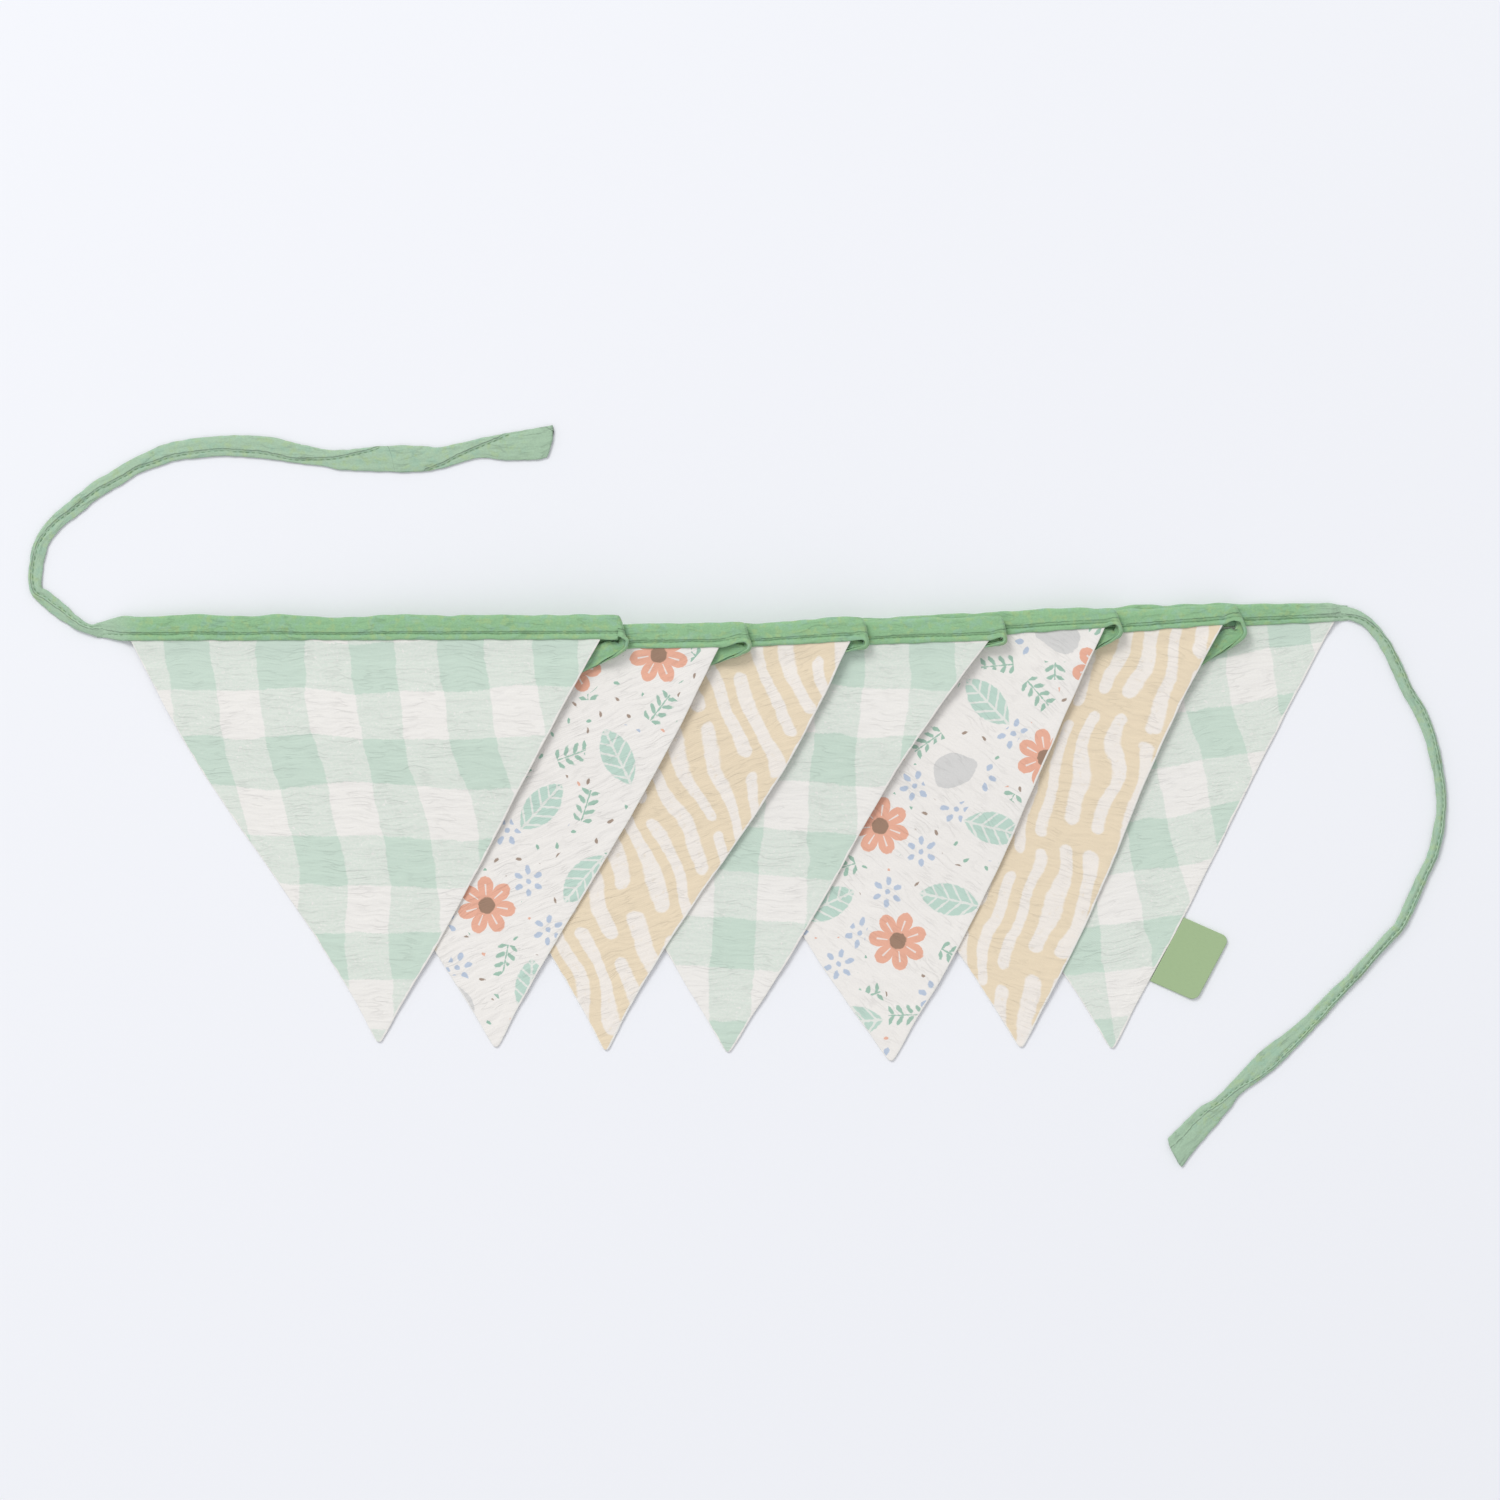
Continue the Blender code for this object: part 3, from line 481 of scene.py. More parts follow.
def lay_uv(mesh, name, values):
    """A UV map from one pair of values for each of the mesh's points."""
    layer = mesh.uv_layers.new(name=name)
    corners = np.zeros(len(mesh.loops), dtype=np.int32)
    mesh.loops.foreach_get("vertex_index", corners)
    layer.data.foreach_set("uv", np.asarray(values, dtype=np.float32)[corners].ravel())


def close_mesh(made):
    """Merges points that meet and shades the mesh smooth."""
    shell = bmesh.new()
    shell.from_mesh(made.data)
    bmesh.ops.remove_doubles(shell, verts=shell.verts, dist=0.000002)
    shell.to_mesh(made.data)
    shell.free()
    made.data.shade_smooth()
    if not made.data.polygons:
        raise RuntimeError(made.name + " has no faces")
    return made


def cloth_sheet(name, grid, thick, rim, maps, finishes):
    """A closed sheet of cloth over a grid of middle points, thin and round at its rim."""
    rows, columns = grid.shape[:2]
    half = np.zeros_like(grid)
    half[:, :, 2] = thick * rim / 2.0
    points = np.concatenate([(grid + half).reshape(-1, 3), (grid - half).reshape(-1, 3)])
    numbers = np.arange(rows * columns).reshape(rows, columns)
    corners = (numbers[:-1, :-1], numbers[1:, :-1], numbers[1:, 1:], numbers[:-1, 1:])
    front = np.stack([corner.ravel() for corner in corners], axis=1)
    back = front[:, ::-1] + rows * columns
    made = add_mesh(name, points.tolist(), np.concatenate([front, back]).tolist(), finishes)
    made.data.polygons.foreach_set("material_index", [0] * len(front) + [1] * len(back))
    for label, values in maps.items():
        lay_uv(made.data, label, np.concatenate([values, values]).reshape(-1, 2))
    return close_mesh(made)


def rim_share(distance):
    """The rounded rim: 0 at the edge, 1 from EDGE_ROUND inwards."""
    inside = 1.0 - np.clip(distance / EDGE_ROUND, 0.0, 1.0)
    return np.sqrt(np.maximum(0.0, 1.0 - inside * inside))


def grain(flag, x, y):
    """A place on the flag in its own cloth, turned and swayed as the cloth is."""
    across = x - flag.grain_x - flag.sway * smooth((HEADING_LINE - y) / SWAY_SPAN)
    up = y - flag.grain_y
    turn = math.radians(flag.grain_turn)
    return (across * math.cos(turn) + up * math.sin(turn),
            up * math.cos(turn) - across * math.sin(turn))


def rounded_width(width, shares, above):
    """A flag's width in each row, given its height above the tip, so that the tip is round."""
    wide = width + TIP_WIDEN * TIP_RADIUS * ramp(shares, TIP_FROM, TIP_SPAN)
    arc = 2.0 * np.sqrt(np.maximum(0.0, TIP_RADIUS ** 2 - (TIP_RADIUS - above) ** 2))
    arc = np.minimum(wide, np.maximum(arc, TIP_LEAST))
    return np.where(above < TIP_TANGENT * TIP_RADIUS, arc, wide)


def wrinkle_at(x, y, index):
    """The muslin's wrinkles, from about -1 to 1, along the heading and wandering a little."""
    drift = WRINKLE_DRIFT * waver(x / WRINKLE_DRIFT_SIZE, y / WRINKLE_DRIFT_SIZE, index * 5.0)
    return waver(x / WRINKLE_LONG, y / WRINKLE_SHORT + drift, index * 3.1)


def make_flag(index, finishes, crinkle):
    """One flag, from inside its heading down to its tip, on the units to its right."""
    flag = FLAGS[index]
    across = heading_frame(flag)[1]
    shares = np.concatenate([np.linspace(0.0, LAST_EVEN_ROW, FLAG_ROWS), TIP_ROWS])
    left_x, left_y = side_edge(flag, -1, shares)
    right_x, right_y = side_edge(flag, 1, shares)
    for row, share in enumerate(shares):
        slack = EDGE_WAVER * min(1.0, EDGE_WAVER_FADE * (1.0 - share))
        left_x[row] += slack * waver(index * 7.0, share * EDGE_WAVES, 0.3)
        right_x[row] += slack * waver(index * 7.0 + 3.0, share * EDGE_WAVES, 0.7)
    straight = np.hypot(right_x - left_x, right_y - left_y)
    width = rounded_width(straight, shares, (1.0 - shares) * abs(flag.tip[1] - flag.left[1]))
    more = (width - straight) / 2.0
    left_x, right_x, width = left_x - more, right_x + more, width[:, None]
    near = np.array(EDGE_STEPS) * np.minimum(1.0, width / (4.0 * EDGE_STEPS[-1])) / width
    last = near[:, -1:]
    middle = last + (1.0 - 2.0 * last) * np.linspace(0.0, 1.0, FLAG_COLUMNS)[1:-1]
    place = np.concatenate([near, middle, 1.0 - near[:, ::-1]], axis=1)
    x = left_x[:, None] + (right_x - left_x)[:, None] * place
    y = left_y[:, None] + (right_y - left_y)[:, None] * place
    hem = np.array(HEM_ROWS)[:, None]
    trim = (x[0] - flag.left[0]) * TUCK_TRIM * hem
    x = np.concatenate([x[0] + across.x * TUCK * hem - trim, x])
    y = np.concatenate([y[0] + across.y * TUCK * hem, y])
    beside_hem = ((len(HEM_ROWS), 0), (0, 0))
    from_left = np.pad(place * width, beside_hem, mode="edge")
    from_right = np.pad((1.0 - place) * width, beside_hem, mode="edge")
    from_side = np.minimum(from_left, from_right)
    rim = rim_share(np.minimum(from_side, np.abs(y - flag.tip[1])))
    rim[0, :] = 0.0
    ridge = SEAM_RIDGE * (1.0 - ramp(from_side, SEAM_FROM, SEAM_STEP))
    ridge = ridge * smooth(from_side / SEAM_ROUND)
    depth = own_depth(flag, x, y)
    sink = smooth(depth / DROP_SPAN)
    height = unit_height(index, x, y) + FLAG_IN_HEADING * (1.0 - sink) + FLAG_THICK / 2.0
    if index < LAST:
        hump = np.exp(-(from_right / HUMP_SIZE) ** 2 - ((depth - HUMP_AT) / HUMP_SIZE) ** 2)
        height += EDGE_OVER_CURL * flag.curl / FLAGS[0].curl * hump
    wrinkle = np.array([[wrinkle_at(u, v, index) for u, v in zip(*row)] for row in zip(x, y)])
    height += crinkle * wrinkle * ramp(depth, WRINKLE_FROM, WRINKLE_SPAN) + ridge / 2.0
    maps = {"cloth": np.stack(grain(flag, x, y), axis=2),
            "seam": np.stack([from_right, from_left], axis=2)}
    grid = np.stack([x, y, height], axis=2)
    thick = FLAG_THICK * CLOTH_SHARE + ridge
    return cloth_sheet(flag.name + "_cloth", grid, thick, rim, maps, finishes)


Station = namedtuple("Station", "lip across up flat slope width thick notch field travel")
# A section of the binding. lip is its open edge at half the thickness, across and up are
# its directions there. It lies flat for the length flat, sloping down by slope, and turns
# under past that. field is the height function of what it lies on, with the unit's number.


def plain_station(lip, across, up, width, thick, field, travel):
    return Station(lip, across, up, 1.0, 0.0, width, thick, HEADING_NOTCH, field, travel)


def rolled_station(place, lip, outwards, width, curl, field, travel, base):
    """A section in a curl. base is the height of the part that has turned under."""
    places = [roll.place for roll in ROLLS]
    spots = np.minimum(place + CURL_SOFT, 2.0) if place < 1.9 else place
    roll = Roll(*(float(np.mean(np.interp(spots, places, column))) for column in zip(*ROLLS)))
    slope = math.radians(roll.slope)
    gathered = FOLD_RADIUS * (math.pi - slope) + GATHER * curl
    gathered += UNDER_GATHER * float(ramp(place, 1.0, 0.25))
    width = gathered + (width - gathered) * roll.width
    thick = TAPE_THICK * roll.thick
    reach = roll.flat * width
    lip = lip.copy()
    lip.z = base + (thick - TAPE_THICK) / 2.0 + reach * math.sin(slope)
    lip.z += FOLD_RADIUS * (1.0 + math.cos(slope))
    return Station(lip, outwards, UP, reach, slope, width, thick, HEADING_NOTCH * roll.notch,
                   field, travel)


def heading_stations(index, travel):
    """One heading, from its left fold or tie up to where it curls or meets the tie."""
    flag = FLAGS[index]
    along, across, angle, long = heading_frame(flag)
    left_reach = START_REACH if index == 0 else LEFT_FOLD_REACH
    right_reach = END_REACH if index == LAST else flag.loop
    skew_left = 0.0 if index == 0 else -LEFT_FOLD_ANGLE / 2.0
    count = math.ceil((long + left_reach + right_reach) / HEADING_STEP)
    curl_base = HEADING_THICK - TAPE_THICK / 2.0 - 2.0 * FOLD_RADIUS
    field = (unit_height, index)
    made = []
    for reach in np.linspace(-left_reach, long + right_reach, count + 1):
        held = smooth((reach + HELD_BEFORE) / HELD_SPAN) * (1.0 - ramp(reach, long, HELD_PAST))
        thick = TAPE_THICK + (HEADING_THICK - TAPE_THICK) * held
        low = HEADING_THICK - thick if index < LAST and reach > long else 0.0
        narrowing = smooth((reach / long - TILT_FROM) / (1.0 - TILT_FROM))
        width = TAPE_WIDTH + (flag.end_width - TAPE_WIDTH) * narrowing
        rise = flag.rise * smooth((reach - long) / max(flag.loop, 0.001))
        from_end = 1.0
        if index == 0:
            from_end = reach + left_reach
            grown = smooth(from_end / START_SPAN)
            width = START_WIDTH + (width - START_WIDTH) * grown
            rise = START_RISE * (1.0 - grown)
        if index == LAST:
            from_end = long + right_reach - reach
            gone = smooth((reach - long - right_reach) / END_SPAN + 1.0)
            width += (END_WIDTH - width) * gone
            rise = END_RISE * gone
        elif index > 0 or reach > 0.0:
            width -= rise
        thick *= CUT_THICK + (1.0 - CUT_THICK) * float(smooth(from_end / CUT_SPAN))
        lip = flat(flag.left) + along * reach + across * rise
        lip.z = low + thick / 2.0
        turning = (reach - long - flag.loop) / CURL_BEFORE
        if index < LAST and turning > -1.0:
            made.append(rolled_station(turning, lip, across, width, flag.curl, field,
                                       travel + reach, curl_base))
            continue
        skew = skew_left * (1.0 - smooth((reach + left_reach) / SKEW_SPAN))
        spread = bearing(angle + 90.0 + skew) / math.cos(math.radians(skew))
        made.append(plain_station(lip, spread, UP, width, thick, field, travel + reach))
    return made


def bezier(pulls, t):
    """A point on a cubic curve and the direction there."""
    weights = ((1 - t) ** 3, 3 * t * (1 - t) ** 2, 3 * t * t * (1 - t), t ** 3)
    slopes = (-(1 - t) ** 2, (1 - t) * (1 - 3 * t), t * (2 - 3 * t), t * t)
    point = sum((pull * weight for pull, weight in zip(pulls, weights)), Vector())
    return point, sum((pull * slope for pull, slope in zip(pulls, slopes)), Vector())


def return_base(following, here, t, turning):
    """How high the tape goes back: over the next heading at first, and then lower."""
    depth = own_depth(following, here.x, here.y)
    drop = max(ramp(depth, RETURN_CLEAR, RETURN_CLEAR_SPAN), ramp(t, DROP_BY, DROP_BY_SPAN))
    rolled = ramp(depth, ROLLED_CLEAR, ROLLED_CLEAR_SPAN) * ramp(turning, 1.0, UNROLL_SPAN)
    drop = rolled + (drop - rolled) * ramp(turning, UNROLLED, UNROLLED_SPAN)
    return RETURN_OVER_HEADING - (RETURN_OVER_HEADING - RETURN_HEIGHT) * float(drop)


def curl_stations(index, travel):
    """Round the curl past a flag's right corner, back under the flag to the next heading."""
    flag, following = FLAGS[index], FLAGS[index + 1]
    along, across, angle, long = heading_frame(flag)
    next_along, next_across, next_angle, _ = heading_frame(following)
    field = (lift, index + 1)
    middle = flat(flag.left) + along * (long + flag.loop) + across * (flag.rise - flag.curl)
    whole = math.radians(180.0 - flag.turn)
    arc = flag.curl * whole
    start = travel + long + flag.loop
    end_width = flag.end_width - flag.rise
    made = []
    for step in range(1, CURL_STEPS + 1):
        place = (step / CURL_STEPS) ** CURL_CROWD
        outwards = across * math.cos(whole * place) + along * math.sin(whole * place)
        swell = math.sin(math.pi * place) * waver(place * 4.0, index * 3.3, 0.5)
        lip = middle + outwards * flag.curl * (1.0 + CURL_UNEVEN * swell)
        made.append(rolled_station(place, lip, outwards, end_width, flag.curl, field,
                                   start + arc * place, RETURN_OVER_HEADING))
    half_left = LEFT_FOLD_ANGLE / 2.0
    crease = bearing(next_angle + 90.0 - half_left)
    outward = bearing(next_angle + 180.0 - half_left)
    spread = crease / math.cos(math.radians(half_left))
    drift = LEFT_FOLD_RADIUS * math.tan(math.radians(half_left))
    landing = flat(following.left) + next_across * (TAPE_WIDTH / 2.0)
    landing -= next_along * LEFT_FOLD_REACH
    fold_start = landing - crease * (math.pi * drift)
    leave = middle + outwards * flag.curl
    out_way = bearing(angle + 180.0 + flag.turn)
    in_way = bearing(next_angle + 180.0 - LEFT_FOLD_ANGLE)
    arrive = fold_start - spread * (TAPE_WIDTH / 2.0)
    pulls = (leave, leave + out_way * RETURN_PULL_RIGHT, arrive - in_way * RETURN_PULL_LEFT, arrive)
    samples = [bezier(pulls, step / RETURN_SAMPLES) for step in range(RETURN_SAMPLES + 1)]
    gone, last_made = arc, arc
    for number in range(1, RETURN_SAMPLES + 1):
        here, way = samples[number]
        gone += (here - samples[number - 1][0]).length
        turning = 1.0 + (gone - arc) / CURL_AFTER
        step = CURL_STEP if turning < 2.0 else RETURN_STEP
        if gone - last_made < step and number < RETURN_SAMPLES:
            continue
        last_made = gone
        t = number / RETURN_SAMPLES
        width = end_width + (TAPE_WIDTH - end_width) * float(smooth(t))
        facing = math.degrees(math.atan2(way.y, way.x)) - 90.0
        lip = here.copy()
        base = return_base(following, here, t, turning)
        if turning < 2.0:
            made.append(rolled_station(turning, lip, bearing(facing + 180.0), width, flag.curl,
                                       field, start + gone, base))
            continue
        pressed = float(ramp(turning, 2.0, PRESS_SPAN) * smooth((1.0 - t) / PRESS_LEFT))
        thick = TAPE_THICK + (FREE_THICK - TAPE_THICK) * pressed
        lip.z = base
        skew = half_left * (1.0 - smooth((RETURN_SAMPLES - number) / SKEW_SAMPLES))
        inward = bearing(facing + skew) / math.cos(math.radians(skew))
        made.append(plain_station(lip, inward, -UP, width, thick, field, start + gone))
    total = start + gone
    for step in range(1, FOLD_STEPS):
        turn = math.pi * step / FOLD_STEPS
        radial = outward * math.sin(turn) + UP * math.cos(turn)
        centre = fold_start + outward * (LEFT_FOLD_RADIUS * math.sin(turn)) + crease * (drift * turn)
        centre.z = RETURN_HEIGHT + LEFT_FOLD_RADIUS * (math.cos(turn) - 1.0)
        lip = centre - spread * (TAPE_WIDTH / 2.0)
        made.append(plain_station(lip, spread, -radial, TAPE_WIDTH, TAPE_THICK, field,
                                  total + LEFT_FOLD_RADIUS * turn))
    return made, total + math.pi * LEFT_FOLD_RADIUS + LEFT_FOLD_REACH


def bent(station, place, rise):
    """A point of a section: place across from the open edge, rise from its middle layer."""
    bend = max(0.0, min((place - station.flat) / FOLD_RADIUS, math.pi - station.slope))
    start, slope = station.slope, station.slope + bend
    ahead = min(place, station.flat)
    past = place - ahead - bend * FOLD_RADIUS
    out = ahead * math.cos(start) + past * math.cos(slope)
    out += FOLD_RADIUS * (math.sin(slope) - math.sin(start)) + rise * math.sin(slope)
    down = ahead * math.sin(start) + past * math.sin(slope)
    down += FOLD_RADIUS * (math.cos(start) - math.cos(slope)) - rise * math.cos(slope)
    wave = waver(station.travel / BULGE_LENGTH, 4.0, 0.0) * BULGE_HIGH
    return station.lip + station.across * out - station.up * (down - wave)


def ring_points(station, pucker):
    """The points round one section of the binding, front first, and their places across."""
    travel, half = station.travel, station.thick / 2.0
    made = []
    places = []
    length_wise = travel / PUCKER_LENGTH
    stray = waver(travel / GROOVE_LENGTH, 8.0, 0.0) * GROOVE_STRAY
    swell = sum(wide * waver(travel / long, seed, 6.0) for wide, long, seed in TAPE_SWELLS)
    for number, (share, height) in enumerate(FRONT + BACK):
        front = number < len(FRONT)
        near = math.exp(-((share - GROOVE_AT) / GROOVE_SPREAD) ** 2)
        bump = waver(length_wise, share * 3.4, 0.0 if front else 20.0)
        bump += 0.6 * waver(length_wise * 2.1, share * 7.0, 40.0)
        puff = pucker * bump * (0.9 if front else 0.4) * math.copysign(1.0, height)
        edge = TAPE_EDGE_WAVER * waver(travel / TAPE_EDGE_LENGTH, 12.0 + 9.0 * round(share), 0.0)
        place = (share + stray * near) * station.width
        place += edge * (1.0 if share < 0.02 or share > 0.95 else 0.0) + swell * share
        made.append(bent(station, place, height * half + puff))
        places.append(share * station.width if front else BACK_MAP + (1.0 - share) * station.width)
    for depth, height in NOTCH:
        made.append(bent(station, station.notch * depth, height * half))
        places.append(BACK_MAP + station.width + station.notch)
    x = np.array([point.x for point in made])
    y = np.array([point.y for point in made])
    height, unit = station.field
    for point, base in zip(made, height(unit, x, y)):
        point.z = max(LOWEST, point.z + float(base))
    return made, places


def sweep(name, rings, travels, places, finish, gaps=None):
    """A closed mesh through a row of rings. gaps: each point's distance from the seam."""
    count = len(rings[0])
    points = [tuple(point) for ring in rings for point in ring]
    faces = []
    for here in range(len(rings) - 1):
        for one in range(count):
            two = (one + 1) % count
            faces.append((here * count + one, here * count + two,
                          (here + 1) * count + two, (here + 1) * count + one))
    faces.append(tuple(reversed(range(count))))
    faces.append(tuple(range((len(rings) - 1) * count, len(rings) * count)))
    made = add_mesh(name, points, faces, [finish])
    values = [(travel, place) for travel, ring in zip(travels, places) for place in ring]
    lay_uv(made.data, "cloth", values)
    gaps = places if gaps is None else gaps
    ends = [min(travel, travels[-1] - travel) for travel in travels]
    lay_uv(made.data, "seam", [(end, gap) for end, ring in zip(ends, gaps) for gap in ring])
    shell = bmesh.new()
    shell.from_mesh(made.data)
    bmesh.ops.recalc_face_normals(shell, faces=shell.faces)
    shell.to_mesh(made.data)
    shell.free()
    made.data.shade_smooth()
    return made


def binding_stations():
    made = []
    travel = START_REACH
    for index in range(len(FLAGS)):
        made += heading_stations(index, travel)
        if index < LAST:
            curled, travel = curl_stations(index, travel)
            made += curled
    return made


def tie_path(route):
    """Even points along a smooth curve through a tie's route, with width and line."""
    values = [np.array(point) for point in route]
    values = [values[0] * 2.0 - values[1]] + values + [values[-1] * 2.0 - values[-2]]
    fine = []
    for a, b, c, d in zip(values, values[1:], values[2:], values[3:]):
        for part in range(TIE_CURVE_STEPS):
            t = part / TIE_CURVE_STEPS
            fine.append(0.5 * (2.0 * b + (c - a) * t + (2.0 * a - 5.0 * b + 4.0 * c - d) * t * t
                               + (3.0 * b - a - 3.0 * c + d) * t ** 3))
    fine.append(values[-2])
    fine = np.array(fine)
    gone = np.concatenate([[0.0], np.cumsum(np.hypot(*np.diff(fine[:, :2], axis=0).T))])
    even = np.linspace(0.0, gone[-1], round(gone[-1] / TIE_STEP) + 1)
    return even, np.stack([np.interp(even, gone, fine[:, k]) for k in range(4)], axis=1)


def tie_cut(share, x, past):
    """How far the cut end runs on at a share across the tie: slanted, frayed and rounded."""
    return past * (TIE_SLANT * share + TIE_FRAY * waver(share * 2.6, x * 90.0, 1.0)
                   - TIE_CORNERS * share ** 4)


def tie_crown(share):
    return (1.0 - share * share) ** 0.5


def tie_sections(route, pucker):
    """A tie's sections: a flat folded strip, with its front layer's edge along it."""
    even, path = tie_path(route)
    rings, places, gaps, middles, seams = [], [], [], [], [[]]
    count = TIE_BOTTOM_POINTS + 1
    top = [-math.cos(math.pi * step / (TIE_TOP_POINTS - 1)) for step in range(TIE_TOP_POINTS)]
    bottom = [math.cos(math.pi * step / count) for step in range(1, count)]
    for number, (gone, (x, y, width, line)) in enumerate(zip(even, path)):
        before, after = path[max(0, number - 1)], path[min(len(path) - 1, number + 1)]
        run = Vector((after[0] - before[0], after[1] - before[1], 0.0)).normalized()
        side = Vector((-run.y, run.x, 0.0))
        half = width / 2.0 * (1.0 + TIE_SWELL * waver(gone / 0.007, 3.0, len(route) + x))
        half += TIE_EDGE_WAVER * waver(gone / 0.0031, 7.0, x)
        thick = max(TIE_THICK, min(TIE_THICK_MOST, TIE_SECTION / width - TIE_THICK / 2.0))
        thick *= CUT_THICK + (1.0 - CUT_THICK) * float(smooth(gone / TIE_START_SPAN))
        line = (line + LINE_RANGE) % (2.0 * LINE_RANGE) - LINE_RANGE
        line += LINE_WAVER * waver(gone / 0.006, 5.0, x)
        shown = 1.0 - float(ramp(abs(line), 1.0, LINE_FADE))
        past = max(0.0, gone - even[-1] + TIE_CUT_SPAN) / TIE_CUT_SPAN
        middle = Vector((x, y, 0.0))
        ring, across, apart = [], [], []
        for share in top:
            crown = tie_crown(share)
            gap = (share - line) * half
            rise = thick * (TIE_EDGE + (1.0 - TIE_EDGE) * crown ** 0.7)
            rise -= TIE_GROOVE * shown * math.exp(-(gap / TIE_GROOVE_WIDTH) ** 2) * crown
            rise += TIE_LAYER * shown * (float(smooth(gap / TIE_LAYER_STEP + 0.5)) - 0.5) * crown
            bump = waver(gone / 0.0038, share * 1.6, x) + 0.6 * waver(gone / 0.0019, share * 3.0, x)
            rise += pucker * bump * crown
            cut = run * tie_cut(share, x, past)
            ring.append(middle + side * (share * half) + cut + UP * max(rise, TIE_LEAST))
            across.append((share + 1.0) * half)
            apart.append(gap + (1.0 - shown) * BACK_MAP)
        for share in bottom:
            low = min(thick * TIE_EDGE * (1.0 - tie_crown(share) ** 0.5), TIE_LEAST * 0.8)
            place = side * (share * half * 0.96) + run * tie_cut(share, x, past)
            ring.append(middle + place + UP * max(low, LOWEST))
            across.append(BACK_MAP + (1.0 - share) * half)
            apart.append(BACK_MAP)
        if abs(line) < SEWN_WITHIN and past == 0.0 and gone > TIE_START_SPAN:
            crown = tie_crown(line)
            rise = thick * (TIE_EDGE + (1.0 - TIE_EDGE) * crown ** 0.7) - TIE_GROOVE * SEWN_DEEP * crown
            seams[-1].append(middle + side * (line * half) + UP * rise)
        elif seams[-1]:
            seams.append([])
        rings.append(ring)
        places.append(across)
        gaps.append(apart)
        middles.append((x, y, thick / 2.0))
    return even, rings, places, gaps, middles, [seam for seam in seams if len(seam) > 3]


def make_tie(name, route, finish, pucker):
    even, rings, places, gaps, middles, _ = tie_sections(route, pucker)
    made = sweep(name, rings, list(even), places, finish, gaps)
    return made, middles, float(even[-1])


class Value:
    """A socket in a node tree. Sums such as value * 2.0 + 1.0 add its maths nodes."""

    def __init__(self, maker, socket):
        self.maker = maker
        self.socket = socket

    def __add__(self, other):
        return self.maker.maths("ADD", self, other)

    def __radd__(self, other):
        return self.maker.maths("ADD", other, self)

    def __sub__(self, other):
        return self.maker.maths("SUBTRACT", self, other)

    def __rsub__(self, other):
        return self.maker.maths("SUBTRACT", other, self)

    def __mul__(self, other):
        return self.maker.maths("MULTIPLY", self, other)

    def __truediv__(self, other):
        return self.maker.maths("DIVIDE", self, other)

    def __rtruediv__(self, other):
        return self.maker.maths("DIVIDE", other, self)

    def __abs__(self):
        return self.maker.maths("ABSOLUTE", self)


class Tree:
    """Adds nodes to one node tree. What goes in is a Value, a number, a colour or an object."""

    def __init__(self, tree):
        self.tree = tree

    def add(self, kind, values=(), **settings):
        made = self.tree.nodes.new(kind)
        for name, value in settings.items():
            setattr(made, name, value)
        for socket, value in dict(values).items():
            if isinstance(value, Value):
                self.tree.links.new(value.socket, made.inputs[socket])
            else:
                made.inputs[socket].default_value = value
        return made

    def out(self, output, kind, values=(), **settings):
        """One output of a new node."""
        return Value(self, self.add(kind, values, **settings).outputs[output])

    def outputs(self, kind, values=(), **settings):
        """All the outputs of a new node, by name."""
        made = self.add(kind, values, **settings)
        return {socket.name: Value(self, socket) for socket in made.outputs}

    def maths(self, operation, *values):
        return self.out(0, "ShaderNodeMath", enumerate(values), operation=operation)

    def vectors(self, operation, *values):
        return self.out("Vector", "ShaderNodeVectorMath", enumerate(values), operation=operation)

    def size(self, vector):
        return self.out("Value", "ShaderNodeVectorMath", {0: vector}, operation="LENGTH")

    def scaled(self, vector, factor):
        vector = vector if isinstance(vector, Value) else tuple(vector)[:3]
        values = {0: vector, "Scale": factor}
        return self.out("Vector", "ShaderNodeVectorMath", values, operation="SCALE")

    def step(self, value, low, high):
        """A soft step from 0 at low to 1 at high."""
        values = {"Value": value, "From Min": low, "From Max": high}
        return self.out(0, "ShaderNodeMapRange", values, interpolation_type="SMOOTHSTEP")

    def mix(self, factor, first, second):
        return self.out(2, "ShaderNodeMix", {0: factor, 6: first, 7: second}, data_type="RGBA")

    def noise(self, vector, scale, detail=2.0, output="Fac"):
        values = {"Vector": vector, "Scale": scale, "Detail": detail}
        return self.out(output, "ShaderNodeTexNoise", values)

    def chance(self, number):
        """A number from 0 to 1 by chance, the same for the same number."""
        return self.out("Value", "ShaderNodeTexWhiteNoise", {"W": number}, noise_dimensions="1D")

    def split(self, vector):
        return self.outputs("ShaderNodeSeparateXYZ", {0: vector}).values()

    def join(self, x, y, z=0.0):
        return self.out(0, "ShaderNodeCombineXYZ", {0: x, 1: y, 2: z})

    def turned(self, vector, angle):
        values = {"Vector": vector, "Angle": angle}
        return self.out(0, "ShaderNodeVectorRotate", values, rotation_type="Z_AXIS")

    def mapped(self, name):
        return self.out(0, "ShaderNodeUVMap", uv_map=name)

    def use(self, group, **values):
        return self.outputs("ShaderNodeGroup", values, node_tree=group)

    def end(self, **values):
        """Joins a group's results to its outputs, and gives the whole group."""
        self.add("NodeGroupOutput", values)
        return self.tree


SOCKETS = {"F": "NodeSocketFloat", "V": "NodeSocketVector", "C": "NodeSocketColor"}


def new_group(name, inputs, outputs="C Color"):
    """A shader node group and its inputs by name. Each socket is F, V or C, then its name."""
    tree = bpy.data.node_groups.new(name, "ShaderNodeTree")
    for way, sockets in (("INPUT", inputs), ("OUTPUT", outputs)):
        for socket in sockets.split(", "):
            kind, label = socket.split()
            tree.interface.new_socket(label, in_out=way, socket_type=SOCKETS[kind])
    maker = Tree(tree)
    return maker, maker.outputs("NodeGroupInput")


